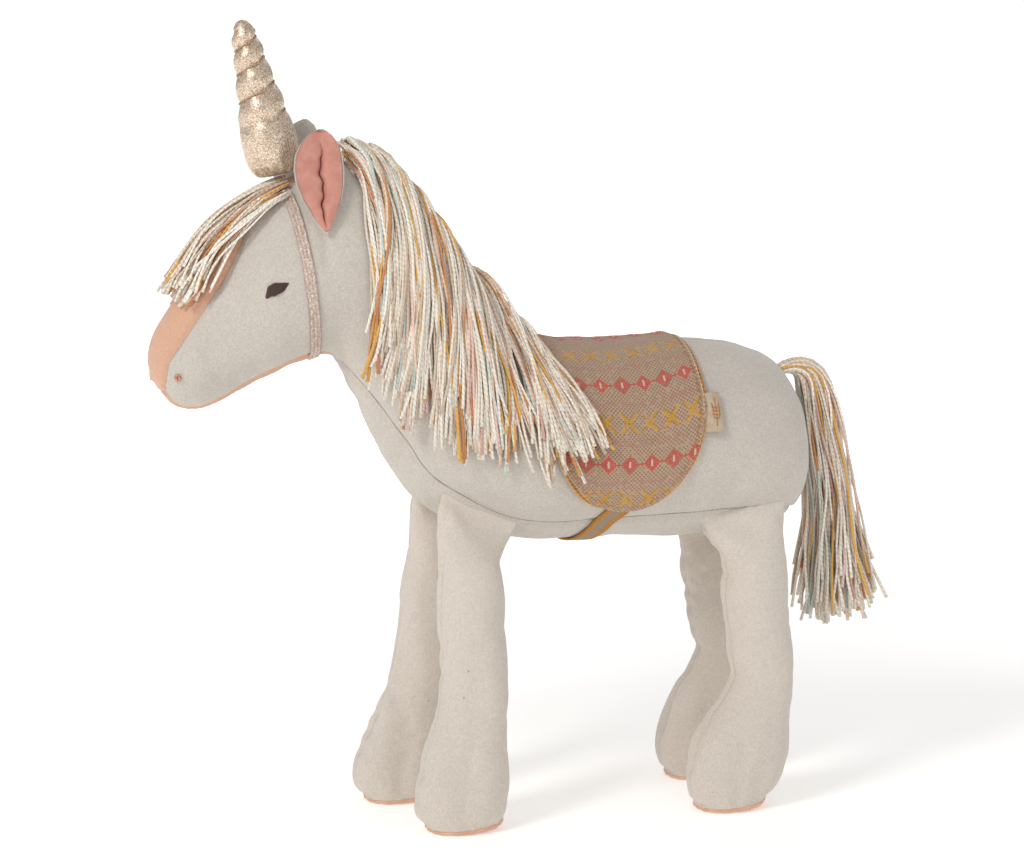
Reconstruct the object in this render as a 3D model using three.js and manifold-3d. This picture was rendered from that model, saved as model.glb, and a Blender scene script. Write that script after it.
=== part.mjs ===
// A stuffed toy unicorn, in millimetres: +Z up, nose towards -X, left side towards -Y, standing on Z = 0.
// Fabric is modelled panel by panel around a filling. Every panel keeps SEAM_GAP to its neighbour.
import * as THREE from "three";
import { LoftGeometry } from "three/addons/geometries/LoftGeometry.js";
import { mergeVertices } from "three/addons/utils/BufferGeometryUtils.js";
import Module from "manifold-3d";

// Driving dimensions
const MIDDLE_X = 6.7; // halfway between nose and tail in the pattern, which the origin lies under
const SEAM_GAP = 0.5; // between panels sewn edge to edge
const LAYER_GAP = 1; // between a panel and the filling behind it
const FELT = 1.4; // thickness of the body and leg fabric
const EAR_FELT = 1.2;
const LINING = 0.8; // thickness of a cotton lining
const KNIT = 1.7; // thickness of the saddle's knitted cloth
const SOLE_HEIGHT = 3.8;
const LEG_AXIS_HEIGHT = 140; // the legs swing about this height
const LEG_TOP_RADIUS = 16;
const SOCKET_CLEARANCE = 1.3; // between a leg's round top and the hollow it swings in
const LEG_MIDDLE_Y = 32;
const HORN_LENGTH = 73;
const HORN_BASE = new THREE.Vector3(-119, 0, 318.4);
const HORN_TIP = new THREE.Vector3(-133, 0, 389);
const STRAP_WIDTH = 5.5;
const STRAP_THICKNESS = 1;
const SADDLE_MIDDLE_X = 43;
const SADDLE_HALF_LENGTH = 41;
const SADDLE_STRAIGHT_DROP = 45; // from the spine down to where the edge starts to round
const SADDLE_DROP = 112; // from the spine down to the lowest point of the flap
const FLAP_ANGLE = 48; // where the flaps fold, in degrees round the barrel from the spine
const BARREL_RADIUS = 50;
const GIRTH_WIDTH = 11;

// The trunk's ribs from rump to muzzle: the point on the top line, the point on the under line, half the width.
const RIBS = [
  { top: [151.5, 173], under: [151.5, 171], half: 1 },
  { top: [150.5, 190], under: [151, 153], half: 20 },
  { top: [146, 206], under: [145.5, 144.5], half: 34 },
  { top: [137, 220], under: [137.5, 139], half: 43 },
  { top: [124, 228], under: [124, 135.5], half: 47 },
  { top: [100, 234], under: [102, 134], half: 49 },
  { top: [70, 236], under: [72, 134], half: 49.5 },
  { top: [40, 236.5], under: [40, 135], half: 49 },
  { top: [14, 237], under: [10, 136], half: 48 },
  { top: [1, 243], under: [-15, 140], half: 47 },
  { top: [-12, 256], under: [-36, 149], half: 45 },
  { top: [-26, 272], under: [-53, 162], half: 42 },
  { top: [-38, 287], under: [-64, 180], half: 39 },
  { top: [-50, 301], under: [-73, 197], half: 36 },
  { top: [-62, 313], under: [-80, 212], half: 33 },
  { top: [-74, 321], under: [-86, 224], half: 31 },
  { top: [-86, 324], under: [-91, 230], half: 30.5 },
  { top: [-97, 321.5], under: [-97, 231], half: 30.5 },
  { top: [-108, 316.5], under: [-104, 229], half: 30 },
  { top: [-119, 310], under: [-112, 226.5], half: 29 },
  { top: [-130, 302], under: [-120, 223], half: 27.5 },
  { top: [-141, 292], under: [-129, 219], half: 25.5 },
  { top: [-151, 281], under: [-138, 214.5], half: 23.5 },
  { top: [-160, 269], under: [-147, 210], half: 21.5 },
  { top: [-169, 256], under: [-157, 206.5], half: 19.5 },
  { top: [-177, 243], under: [-167, 208], half: 16.5 },
  { top: [-180.5, 231], under: [-174, 214.5], half: 10.5 },
  { top: [-179.5, 223], under: [-179, 221], half: 1 },
];
const LAST_RIB = RIBS.length - 1;
const POLL_RIB = 16.6; // the head's filling starts here
const WITHERS_RIB = 9.2; // and the neck's here
const THROAT_RIB = 16;
const MUZZLE_SEAM_RIB = 25.6; // where the side panel ends in a round tip
const STRAP_TOP_RIB = 18.85;
const STRAP_CHIN_RIB = 18.1;

// Seams, as [rib, degrees round the trunk from its top line]
const FACE_SEAM = [[17, 0.6], [19, 20], [20, 21], [21, 42], [22, 54], [23, 59], [24, 65], [25, 74], [25.6, 104]];
const MUZZLE_SEAM = [[17, 0.6], [19, 20], [20, 21], [21, 42], [22, 54], [23, 59], [24, 65], [25, 74], [25.6, 104], [26.1, 178], [27, 178]];
const CHIN_SEAM = [[16, 176], [17, 166], [18, 158], [20, 157], [22, 154], [24, 148], [25, 140], [25.6, 107]];
const BELLY_SEAM = [[1, 177], [2, 156], [3, 141], [4, 134], [9, 134], [10, 137], [11, 141], [12, 144], [13, 148], [14, 156], [15, 167], [16, 176]];

const fabric = (colour, roughness = 0.95, metalness = 0) =>
  new THREE.MeshStandardMaterial({ color: colour, roughness, metalness });
const wool = fabric(0xcdc4b8);
const linen = fabric(0xd8cfc2);
const peach = fabric(0xdeb08c);
const pink = fabric(0xd29a86);
const filling = fabric(0xf2f0ea);
const glitterGold = fabric(0xc9ad93, 0.35, 0.8);
const glitterElastic = fabric(0xc9b9ab, 0.5, 0.4);
const yarn = fabric(0xe6dcc9);
const knit = fabric(0xc59c80);
const cotton = fabric(0xe3d8c6);
const ochre = fabric(0xc98a35);
const darkThread = fabric(0x3a2823);
const copperThread = fabric(0xb98062);

const unicorn = new THREE.Group();
unicorn.position.x = -MIDDLE_X;

function addPiece(name, geometry, material) {
  const mesh = new THREE.Mesh(geometry, material);
  mesh.name = name;
  unicorn.add(mesh);
  return mesh;
}

const degrees = THREE.MathUtils.degToRad;

// A value read between the rows of a table of [place, value].
function between(table, place) {
  if (place <= table[0][0]) return table[0][1];
  for (let i = 1; i < table.length; i++) {
    const [from, low] = table[i - 1];
    const [to, high] = table[i];
    if (place <= to) return low + ((high - low) * (place - from)) / (to - from);
  }
  return table[table.length - 1][1];
}

// The list of places from one rib to another: the ends and every whole rib between them.
function ribsBetween(from, to) {
  const places = [from];
  for (let rib = Math.floor(from) + 1; rib < to; rib++) places.push(rib);
  places.push(to);
  return places;
}

function ribAt(place) {
  const index = Math.min(Math.floor(place), LAST_RIB - 1);
  const share = place - index;
  const values = (rib) => [...rib.top, ...rib.under, rib.half];
  const around = [-1, 0, 1, 2].map((step) =>
    values(RIBS[THREE.MathUtils.clamp(index + step, 0, LAST_RIB)]),
  );
  return around[1].map((_, k) => {
    const [a, b, c, d] = around.map((row) => row[k]);
    const slopeIn = (c - a) / 2;
    const slopeOut = (d - b) / 2;
    const curve = 2 * b - 2 * c + slopeIn + slopeOut;
    const bend = 3 * c - 3 * b - 2 * slopeIn - slopeOut;
    return ((curve * share + bend) * share + slopeIn) * share + b;
  });
}

// A point on the trunk's cloth. The angle goes from the top line over the left side to the under line.
function trunkPoint(place, angle, side = 1) {
  const [topX, topZ, underX, underZ, half] = ribAt(place);
  const up = Math.cos(degrees(angle));
  const out = Math.sin(degrees(angle));
  const narrowing = place > 8 ? 0.1 : 0.02 + 0.08 * THREE.MathUtils.smoothstep(place, 6, 8);
  return new THREE.Vector3(
    (topX + underX) / 2 + ((topX - underX) / 2) * up,
    -side * half * out * (1 - narrowing * up),
    (topZ + underZ) / 2 + ((topZ - underZ) / 2) * up,
  );
}

function trunkNormal(place, angle, side = 1) {
  const low = Math.max(place - 0.05, 0);
  const high = Math.min(place + 0.05, LAST_RIB);
  const alongPlace = THREE.MathUtils.clamp(place, 0.2, LAST_RIB - 0.2);
  const along = trunkPoint(high, angle, side).sub(trunkPoint(low, angle, side));
  const round = trunkPoint(alongPlace, angle + 1, side).sub(trunkPoint(alongPlace, angle - 1, side));
  const normal = along.cross(round).normalize();
  return side > 0 ? normal : normal.negate();
}

function trunkOffset(place, angle, distance, side = 1) {
  return trunkPoint(place, angle, side).addScaledVector(trunkNormal(place, angle, side), distance);
}

function signedVolume(geometry) {
  const position = geometry.getAttribute("position");
  const index = geometry.index.array;
  const [a, b, c] = [new THREE.Vector3(), new THREE.Vector3(), new THREE.Vector3()];
  let volume = 0;
  for (let i = 0; i < index.length; i += 3) {
    a.fromBufferAttribute(position, index[i]);
    b.fromBufferAttribute(position, index[i + 1]);
    c.fromBufferAttribute(position, index[i + 2]);
    volume += a.dot(b.cross(c)) / 6;
  }
  return volume;
}

// A closed solid through rings of points, with its faces outwards.
function loft(rings, { capStart = true, capEnd = true } = {}) {
  const make = (list) => new LoftGeometry(list, { closed: true, capStart, capEnd });
  const geometry = make(rings);
  return signedVolume(geometry) > 0 ? geometry : make(rings.map((ring) => [...ring].reverse()));
}

// A closed sheet of cloth between rows of points on its face and rows of points on its back.
function sheet(faceRows, backRows) {
  const rows = faceRows.length;
  const columns = faceRows[0].length;
  const points = [...faceRows.flat(), ...backRows.flat()];
  const face = (i, j) => i * columns + j;
  const back = (i, j) => rows * columns + i * columns + j;
  const index = [];
  const quad = (a, b, c, d) => index.push(a, b, d, b, c, d);
  for (let i = 0; i < rows - 1; i++) {
    for (let j = 0; j < columns - 1; j++) {
      quad(face(i, j), face(i, j + 1), face(i + 1, j + 1), face(i + 1, j));
      quad(back(i, j), back(i + 1, j), back(i + 1, j + 1), back(i, j + 1));
    }
    quad(face(i, 0), face(i + 1, 0), back(i + 1, 0), back(i, 0));
    quad(face(i + 1, columns - 1), face(i, columns - 1), back(i, columns - 1), back(i + 1, columns - 1));
  }
  for (let j = 0; j < columns - 1; j++) {
    quad(face(0, j + 1), face(0, j), back(0, j), back(0, j + 1));
    quad(face(rows - 1, j), face(rows - 1, j + 1), back(rows - 1, j + 1), back(rows - 1, j));
  }
  const make = (order) => new THREE.BufferGeometry().setFromPoints(points).setIndex(order);
  const geometry = make(index);
  return signedVolume(geometry) > 0 ? geometry : make(index.reverse());
}

function range(count, from, to) {
  return Array.from({ length: count + 1 }, (_, i) => from + ((to - from) * i) / count);
}

const wasm = await Module();
wasm.setup();

function solidOf(geometry) {
  const bare = new THREE.BufferGeometry()
    .setAttribute("position", geometry.getAttribute("position"))
    .setIndex(geometry.index);
  const merged = mergeVertices(bare, 1e-4);
  return new wasm.Manifold(
    new wasm.Mesh({
      numProp: 3,
      vertProperties: merged.getAttribute("position").array,
      triVerts: new Uint32Array(merged.index.array),
    }),
  );
}

// What is left of a solid when others are cut away: its largest piece.
function cutAway(geometry, cutters) {
  let left = solidOf(geometry);
  for (const cutter of cutters) left = left.subtract(cutter);
  const largest = left.decompose().sort((a, b) => b.volume() - a.volume())[0];
  const mesh = largest.getMesh();
  return new THREE.BufferGeometry()
    .setAttribute("position", new THREE.BufferAttribute(mesh.vertProperties, 3))
    .setIndex(new THREE.BufferAttribute(mesh.triVerts, 1));
}

// A piece of cloth on the trunk, from one seam angle to the other, between two distances from its surface.
function trunkCloth(places, startAngle, endAngle, inner, outer, { side = 1, steps = 8 } = {}) {
  const depth = (value, place) => (typeof value === "number" ? value : value(place));
  const rows = places.map((place) => {
    const gap = THREE.MathUtils.radToDeg(SEAM_GAP / 2 / Math.max(ribAt(place)[4], 4));
    const angles = range(steps, startAngle(place) + gap, endAngle(place) - gap);
    return [outer, inner].map((distance) =>
      angles.map((angle) => trunkOffset(place, angle, depth(distance, place), side)),
    );
  });
  return sheet(rows.map((row) => row[0]), rows.map((row) => row[1]));
}

function addTrunk() {
  const sockets = legSockets();
  const sidePlaces = [0.12, ...ribsBetween(0.6, MUZZLE_SEAM_RIB)];
  const topSeam = (place) => (place < 17 ? 0 : between(FACE_SEAM, place));
  const underSeam = (place) => {
    if (place < 1) return 180;
    return place < THROAT_RIB ? between(BELLY_SEAM, place) : between(CHIN_SEAM, place);
  };
  for (const [name, side] of [["left", 1], ["right", -1]]) {
    const panel = trunkCloth(sidePlaces, topSeam, underSeam, -FELT, 0, { side, steps: 11 });
    addPiece(`side_panel_${name}`, cutAway(panel, sockets), wool);
  }
  const bellySeam = (place) => between(BELLY_SEAM, place);
  const belly = trunkCloth(ribsBetween(1.05, 15.95), bellySeam, (place) => 360 - bellySeam(place), -FELT, 0, {
    steps: 6,
  });
  addPiece("chest_and_belly_gusset", cutAway(belly, sockets), wool);
  const muzzleSeam = (place) => between(MUZZLE_SEAM, place);
  const blazePlaces = [...ribsBetween(17.1, 25), 25.6, 26.1, 26.6, 26.9];
  const blaze = trunkCloth(blazePlaces, (place) => -muzzleSeam(place), muzzleSeam, -FELT, 0, { steps: 10 });
  addPiece("blaze_gusset", blaze, peach);
  const chinSeam = (place) => between(CHIN_SEAM, place);
  const chinPlaces = ribsBetween(16.1, 25);
  const chin = trunkCloth(chinPlaces, chinSeam, (place) => 360 - chinSeam(place), -FELT, 0, { steps: 4 });
  addPiece("chin_gusset", chin, peach);
  addFilling("barrel_filling", 0.6, WITHERS_RIB - 0.02, sockets);
  addFilling("neck_filling", WITHERS_RIB + 0.02, POLL_RIB - 0.03, sockets);
  addFilling("head_filling", POLL_RIB + 0.03, MUZZLE_SEAM_RIB, []);
}

function addFilling(name, from, to, sockets) {
  const angles = range(16, 0, 360).slice(0, -1);
  const rings = ribsBetween(from, to).map((place) =>
    angles.map((angle) => trunkOffset(place, angle, -FELT - LAYER_GAP)),
  );
  addPiece(name, cutAway(loft(rings), sockets), filling);
}

// Each leg's sections from the sole up: height, front edge and back edge along X, half the width along Y.
const FRONT_LEG = [
  [4.2, -56, -14, 15.5], [10, -60, -11.5, 17.5], [21, -60.5, -10, 18], [36, -57.5, -10, 17],
  [48, -52.5, -10, 16], [62, -47, -10.5, 15], [80, -45, -11.5, 15], [100, -45, -13.5, 15],
  [122, -46, -14.8, 15.3], [140, -46.5, -14.5, 15.5],
];
const REAR_LEG = [
  [4.2, 84, 131, 15.5], [10, 80, 134.5, 17.5], [18, 80.5, 136.5, 18], [31, 87.5, 138, 17],
  [48, 100, 139, 16], [62, 106.5, 139, 15], [80, 105, 138, 15], [104, 101.5, 135.5, 15],
  [122, 100, 133, 15.3], [140, 100, 132, 15.5],
];
// The right legs stand a little further apart than the left ones: the foot's step along X.
const LEGS = [
  { name: "front_left", side: 1, sections: FRONT_LEG, step: 0 },
  { name: "front_right", side: -1, sections: FRONT_LEG, step: -15 },
  { name: "rear_left", side: 1, sections: REAR_LEG, step: 0 },
  { name: "rear_right", side: -1, sections: REAR_LEG, step: 8 },
];

// Above the axis a leg's top is rounded about it.
for (const sections of [FRONT_LEG, REAR_LEG]) {
  const [, front, back, half] = sections[sections.length - 1];
  for (const angle of [25, 47, 66, 80]) {
    const depth = LEG_TOP_RADIUS * Math.cos(degrees(angle));
    const middle = (front + back) / 2;
    const narrow = half - 4 * Math.pow(Math.sin(degrees(angle)), 2);
    sections.push([LEG_AXIS_HEIGHT + LEG_TOP_RADIUS * Math.sin(degrees(angle)), middle - depth, middle + depth, narrow]);
  }
}

// The hollows in the trunk that the legs' tops swing in.
function legSockets() {
  const radius = LEG_TOP_RADIUS + SOCKET_CLEARANCE;
  return LEGS.map(({ side, sections }) => {
    const [, front, back] = sections.find((section) => section[0] === LEG_AXIS_HEIGHT);
    const round = new THREE.CylinderGeometry(radius, radius, 60, 20);
    round.translate((front + back) / 2, -side * (LEG_MIDDLE_Y + 12), LEG_AXIS_HEIGHT);
    return solidOf(round);
  });
}

function legRing(leg, section, angles, inset, lift = 0) {
  const [height, front, back, half] = section;
  const stride = leg.step * (1 - THREE.MathUtils.smoothstep(height, 0, LEG_AXIS_HEIGHT));
  return angles.map((angle) => {
    const along = Math.cos(degrees(angle));
    const out = Math.sin(degrees(angle));
    return new THREE.Vector3(
      (front + back) / 2 + stride - ((back - front) / 2 - inset) * along,
      -leg.side * (LEG_MIDDLE_Y + (half - inset) * out),
      height + lift,
    );
  });
}

function addLeg(leg) {
  const panel = (from, to) => {
    const rows = (inset) =>
      leg.sections.map((section) => {
        const gap = THREE.MathUtils.radToDeg(SEAM_GAP / 2 / section[3]);
        return legRing(leg, section, range(6, from + gap, to - gap), inset);
      });
    return sheet(rows(0), rows(FELT));
  };
  addPiece(`leg_${leg.name}_outer_panel`, panel(0, 180), linen);
  addPiece(`leg_${leg.name}_inner_panel`, panel(180, 360), linen);

  const around = range(12, 0, 360).slice(0, -1);
  const inset = FELT + LAYER_GAP;
  const filled = [
    legRing(leg, leg.sections[0], around, inset, 0.4),
    ...leg.sections.slice(1, -1).map((section) => legRing(leg, section, around, inset)),
  ];
  addPiece(`leg_${leg.name}_filling`, loft(filled), filling);

  const foot = leg.sections[0];
  const sole = [[2.5, 0], [0.3, 1.6], [0.3, SOLE_HEIGHT]].map(([tuck, height]) =>
    legRing(leg, [height, foot[1], foot[2], foot[3]], around, tuck),
  );
  addPiece(`leg_${leg.name}_sole`, loft(sole), peach);
}

// Each ear is a leaf cupped round its middle line: half its width at each share of its length.
const EAR_WIDTHS = [[0, 1.4], [0.2, 6.2], [0.4, 10.4], [0.65, 12.3], [0.85, 9.6], [0.95, 5.8], [1, 1.4]];
const EAR_ROOT = new THREE.Vector3(-101, -29.2, 291.5);
const EAR_LENGTH = 52;
const EAR_LEAN = 18.5; // towards the middle, in degrees
const EAR_CUP = 3.5;

function earPoint(share, across, depth, side) {
  const half = between(EAR_WIDTHS, share);
  const outward = depth + EAR_CUP * across * across;
  const lean = degrees(EAR_LEAN);
  return new THREE.Vector3(
    EAR_ROOT.x + 2 * share + half * across,
    side * (EAR_ROOT.y + EAR_LENGTH * share * Math.sin(lean) - outward * Math.cos(lean)),
    EAR_ROOT.z + EAR_LENGTH * share * Math.cos(lean) + outward * Math.sin(lean),
  );
}

function addEar(name, side) {
  const layer = (from, to, trim) => {
    const across = range(6, -1 + 2 * trim, 1 - 2 * trim);
    const shares = [0, 0.12, 0.28, 0.46, 0.65, 0.82, 0.94, 1].map((share) => trim + share * (1 - 2 * trim));
    const rows = (depth) => shares.map((share) => across.map((t) => earPoint(share, t, depth, side)));
    return sheet(rows(to), rows(from));
  };
  addPiece(`ear_${name}_back`, layer(0, EAR_FELT, 0), wool);
  addPiece(`ear_${name}_lining`, layer(EAR_FELT + 0.7, EAR_FELT + 0.7 + LINING, 0.03), pink);
}

// A small domed patch of stitches on the trunk.
function stitchedPatch(place, angle, side, outline, height) {
  const normal = trunkNormal(place, angle, side);
  const centre = trunkOffset(place, angle, 0.35, side);
  const up = new THREE.Vector3(0, 0, 1).addScaledVector(normal, -normal.z).normalize();
  const forward = new THREE.Vector3().crossVectors(up, normal).multiplyScalar(side);
  const ring = (scale, lift) =>
    outline.map(([x, z]) =>
      centre.clone().addScaledVector(forward, x * scale).addScaledVector(up, z * scale).addScaledVector(normal, lift),
    );
  return loft([ring(1, 0), ring(0.86, height * 0.7), ring(0.45, height)]);
}

function addFace() {
  const almond = [[-5.3, -3.8], [-3.9, 1.5], [-0.6, 3.1], [5.6, 3.3], [3.2, -0.4], [-0.4, -2.4]];
  const dot = range(8, 0, 360).slice(0, -1).map((a) => [2 * Math.cos(degrees(a)), 2 * Math.sin(degrees(a))]);
  for (const [name, side] of [["left", 1], ["right", -1]]) {
    addPiece(`eye_${name}`, stitchedPatch(19.95, 88.5, side, almond, 1), darkThread);
    addPiece(`nostril_knot_${name}`, stitchedPatch(24.75, 99, side, dot, 1.8), copperThread);
  }
}

// Half the horn's thickness at each height along it.
const HORN_RADII = [[0, 11], [4, 12.6], [12, 13.2], [22, 12.2], [30, 10.8], [42, 8.9], [54, 7], [65, 5.6], [70, 4.3], [72.4, 2.2]];
const HORN_TURNS = 4;

function addHorn() {
  const outside = [...HORN_RADII.map(([height, radius]) => new THREE.Vector2(radius, height)), new THREE.Vector2(0, HORN_LENGTH)];
  const inside = HORN_RADII.slice(0, -1).map(([height, radius]) => new THREE.Vector2(radius - EAR_FELT, height));
  const coverProfile = [new THREE.Vector2(0, HORN_LENGTH - 2), ...inside.reverse(), ...outside];
  const shrink = EAR_FELT + SEAM_GAP;
  const core = HORN_RADII.slice(0, -1).map(([height, radius]) => new THREE.Vector2(radius - shrink, Math.max(height, 0.5)));
  const coreProfile = [new THREE.Vector2(0, 0.5), ...core, new THREE.Vector2(0, HORN_LENGTH - 2.6)];
  const baseProfile = [[0, -1.6], [9.4, -1.6], [10.4, -1], [10.4, -0.4], [0, -0.4]].map(([r, h]) => new THREE.Vector2(r, h));
  const turned = (name, profile, material) => placeOnHorn(addPiece(name, new THREE.LatheGeometry(profile, 14), material));
  turned("horn_cover", coverProfile, glitterGold);
  turned("horn_filling", coreProfile, filling);
  turned("horn_base_patch", baseProfile, glitterGold);

  const wind = range(HORN_TURNS * 12, 0, 1).map((share) => {
    const height = 27 + 40 * Math.pow(share, 0.92);
    const turn = -share * HORN_TURNS * 2 * Math.PI;
    const radius = between(HORN_RADII, height) + 1.1;
    return new THREE.Vector3(radius * Math.cos(turn), height, radius * Math.sin(turn));
  });
  placeOnHorn(addPiece("horn_winding_thread", tube(wind, 0.45, HORN_TURNS * 12), copperThread));
}

function placeOnHorn(mesh) {
  mesh.position.copy(HORN_BASE);
  mesh.quaternion.setFromUnitVectors(new THREE.Vector3(0, 1, 0), HORN_TIP.clone().sub(HORN_BASE).normalize());
  return mesh;
}

function tube(points, radius, steps) {
  const corners = range(5, 0, 2 * Math.PI).slice(0, -1);
  const section = new THREE.Shape(corners.map((a) => new THREE.Vector2(radius * Math.cos(a), radius * Math.sin(a))));
  const extrudePath = new THREE.CatmullRomCurve3(points);
  return new THREE.ExtrudeGeometry(section, { steps, extrudePath, bevelEnabled: false });
}

// The elastic runs from the horn's foot round the chin and back up.
function addChinElastic() {
  const angles = range(26, 30, 330);
  const rings = angles.map((angle, i) => {
    const fromTop = Math.abs(180 - angle) / 180;
    const place = STRAP_CHIN_RIB + (STRAP_TOP_RIB - STRAP_CHIN_RIB) * Math.pow(fromTop, 1.3);
    const normal = trunkNormal(place, angle);
    const centre = trunkOffset(place, angle, 0.7 + STRAP_THICKNESS / 2);
    const along = trunkPoint(place, angle + 1).sub(trunkPoint(place, angle - 1)).normalize();
    const across = new THREE.Vector3().crossVectors(along, normal).normalize();
    const end = i === 0 || i === angles.length - 1;
    return [[1, 1], [1, -1], [-1, -1], [-1, 1]].map(([a, b]) =>
      centre
        .clone()
        .addScaledVector(across, (a * STRAP_WIDTH) / 2)
        .addScaledVector(normal, (b * STRAP_THICKNESS) / 2)
        .add(new THREE.Vector3(0, 0, end ? 0.8 : 0)),
    );
  });
  addPiece("chin_elastic", loft(rings), glitterElastic);
}

// The mane's lower edge, in degrees round the trunk at each rib, and how thick it lies.
const MANE_EDGE = [[7.5, 92], [8, 95], [9, 100], [10, 109], [11, 121], [12, 133], [13, 145], [14, 150], [15, 146], [16, 132]];
const MANE_PLACES = [7.5, 8, 8.6, 9.2, 10, 11, 12, 13, 14, 15, 16];

function addYarn() {
  const overSaddle = (place) => 1 - THREE.MathUtils.smoothstep(place, 8.5, 9.2);
  const inner = (place) => 1.7 + 4.6 * overSaddle(place);
  const outer = (place) => inner(place) + 5.5;
  for (const [name, side] of [["left", 1], ["right", -1]]) {
    const places = MANE_PLACES;
    const cloth = trunkCloth(places, () => 7, (place) => between(MANE_EDGE, place), inner, outer, { side, steps: 9 });
    addPiece(`mane_yarn_${name}`, cloth, yarn);
  }
  addPiece("mane_seam_tape", trunkCloth(ribsBetween(9.3, 16.4), () => -3.4, () => 3.4, 0.4, 1.4, { steps: 2 }), cotton);
  const spread = [[18.75, 8], [19.3, 12], [20, 24], [22, 38], [23.6, 42]];
  const thick = [[18.75, 2.2], [19.6, 3.2], [20.6, 8], [22, 8.5], [23.6, 5]];
  addPiece(
    "forelock_yarn",
    trunkCloth([18.75, 19.3, 20, 21, 22, 23, 23.6], (place) => -between(spread, place), (place) => between(spread, place), 0.6, (place) => between(thick, place), { steps: 6 }),
    yarn,
  );
  addTail();
}

// The tail's sections down its middle: X, Z, half its thickness along the swing and across it.
const TAIL = [
  [153.5, 213.5, 5, 6], [160, 205, 6.2, 8], [165, 192, 7, 9], [168, 172, 8.5, 10],
  [171, 148, 12, 13], [172, 126, 16, 16], [174, 104, 20, 18], [175, 84, 19, 17],
];

function addTail() {
  const rings = TAIL.map(([x, z, thick, wide], i) => {
    const before = TAIL[Math.max(i - 1, 0)];
    const after = TAIL[Math.min(i + 1, TAIL.length - 1)];
    const down = new THREE.Vector2(after[0] - before[0], after[1] - before[1]).normalize();
    return range(10, 0, 360).slice(0, -1).map((angle) => {
      const away = thick * Math.cos(degrees(angle));
      return new THREE.Vector3(x - down.y * away, wide * Math.sin(degrees(angle)), z + down.x * away);
    });
  });
  addPiece("tail_yarn", loft(rings), yarn);
  const root = addPiece("tail_root_binding", new THREE.CylinderGeometry(4.2, 4.6, 4.2, 10), yarn);
  root.position.set(148.8, 0, 215.6);
  root.rotation.z = 0;
  root.quaternion.setFromUnitVectors(new THREE.Vector3(0, 1, 0), new THREE.Vector3(0.93, 0, 0.37).normalize());
}

// How far the saddle reaches down from the spine at a distance along X from its middle.
function saddleDrop(fromMiddle) {
  const share = Math.min(Math.abs(fromMiddle) / SADDLE_HALF_LENGTH, 1);
  return SADDLE_STRAIGHT_DROP + (SADDLE_DROP - SADDLE_STRAIGHT_DROP) * Math.sqrt(1 - share * share);
}

// The place along the ribs of an X on the barrel, where the ribs are close to upright.
function placeOfX(x) {
  let [low, high] = [4.5, 9.5];
  for (let i = 0; i < 30; i++) {
    const middle = (low + high) / 2;
    const rib = ribAt(middle);
    if ((rib[0] + rib[2]) / 2 > x) low = middle;
    else high = middle;
  }
  return (low + high) / 2;
}

const arcAngle = (length) => THREE.MathUtils.radToDeg(length / BARREL_RADIUS);

function addSaddle() {
  const distances = [-1, -0.95, -0.82, -0.6, -0.3, 0, 0.3, 0.6, 0.82, 0.95, 1].map((share) => share * SADDLE_HALF_LENGTH);
  const places = distances.map((distance) => placeOfX(SADDLE_MIDDLE_X + distance));
  const lowest = new Map(places.map((place, i) => [place, arcAngle(saddleDrop(distances[i]))]));
  const liningBottom = 1.5;
  const liningTop = liningBottom + LINING;
  const knitBottom = liningTop + SEAM_GAP;
  const layers = [["lining", liningBottom, liningTop, 1.2, cotton], ["knit", knitBottom, knitBottom + KNIT, 0, knit]];
  const fold = FLAP_ANGLE;
  for (const [layer, inner, outer, trim, material] of layers) {
    addPiece(`saddle_${layer}_top`, trunkCloth(places, () => -fold + 0.7, () => fold - 0.7, inner, outer, { steps: 8 }), material);
    for (const [name, side] of [["left", 1], ["right", -1]]) {
      const flap = trunkCloth(places, () => fold + 0.7, (place) => lowest.get(place) - trim + 0.3, inner, outer, { side, steps: 5 });
      addPiece(`saddle_${layer}_flap_${name}`, flap, material);
    }
  }
  for (const [name, side] of [["left", 1], ["right", -1]]) {
    const edge = range(20, -1, 1).map((share) => {
      const along = Math.sin((share * Math.PI) / 2) * SADDLE_HALF_LENGTH;
      const reach = (SADDLE_HALF_LENGTH + 1.7) / SADDLE_HALF_LENGTH;
      const place = placeOfX(SADDLE_MIDDLE_X + along * reach);
      const angle = arcAngle(saddleDrop(along) + 1.9 * Math.cos((share * Math.PI) / 2)) + 1.5;
      return trunkOffset(place, angle, 3, side);
    });
    addPiece(`saddle_piping_${name}`, tube(edge, 1, 24), ochre);
  }
  const girth = range(12, arcAngle(SADDLE_DROP + 4.2), 360 - arcAngle(SADDLE_DROP + 4.2)).map((angle, i) => {
    const x = 38 - 14 * Math.sin((i / 12) * Math.PI);
    return [[-0.5, 0.7], [0.5, 0.7], [0.5, 1.9], [-0.5, 1.9]].map(([share, lift]) =>
      trunkOffset(placeOfX(x + share * GIRTH_WIDTH), angle, lift),
    );
  });
  addPiece("girth_strap", loft(girth), ochre);

  const labelPlace = placeOfX(SADDLE_MIDDLE_X + SADDLE_HALF_LENGTH + 4.4);
  const label = addPiece("woven_label", new THREE.BoxGeometry(9, 0.9, 17), cotton);
  const labelCentre = trunkOffset(placeOfX(SADDLE_MIDDLE_X + SADDLE_HALF_LENGTH + 7.4), 70, 3.6);
  const labelNormal = trunkNormal(labelPlace, 70);
  label.position.copy(labelCentre);
  label.quaternion.setFromUnitVectors(new THREE.Vector3(0, -1, 0), labelNormal);
}

addTrunk();
LEGS.forEach(addLeg);
addEar("left", 1);
addEar("right", -1);
addFace();
addHorn();
addChinElastic();
addYarn();
addSaddle();

export default unicorn;
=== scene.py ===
import math

import bpy
import numpy as np
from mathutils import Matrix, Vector
from mathutils.bvhtree import BVHTree


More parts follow.
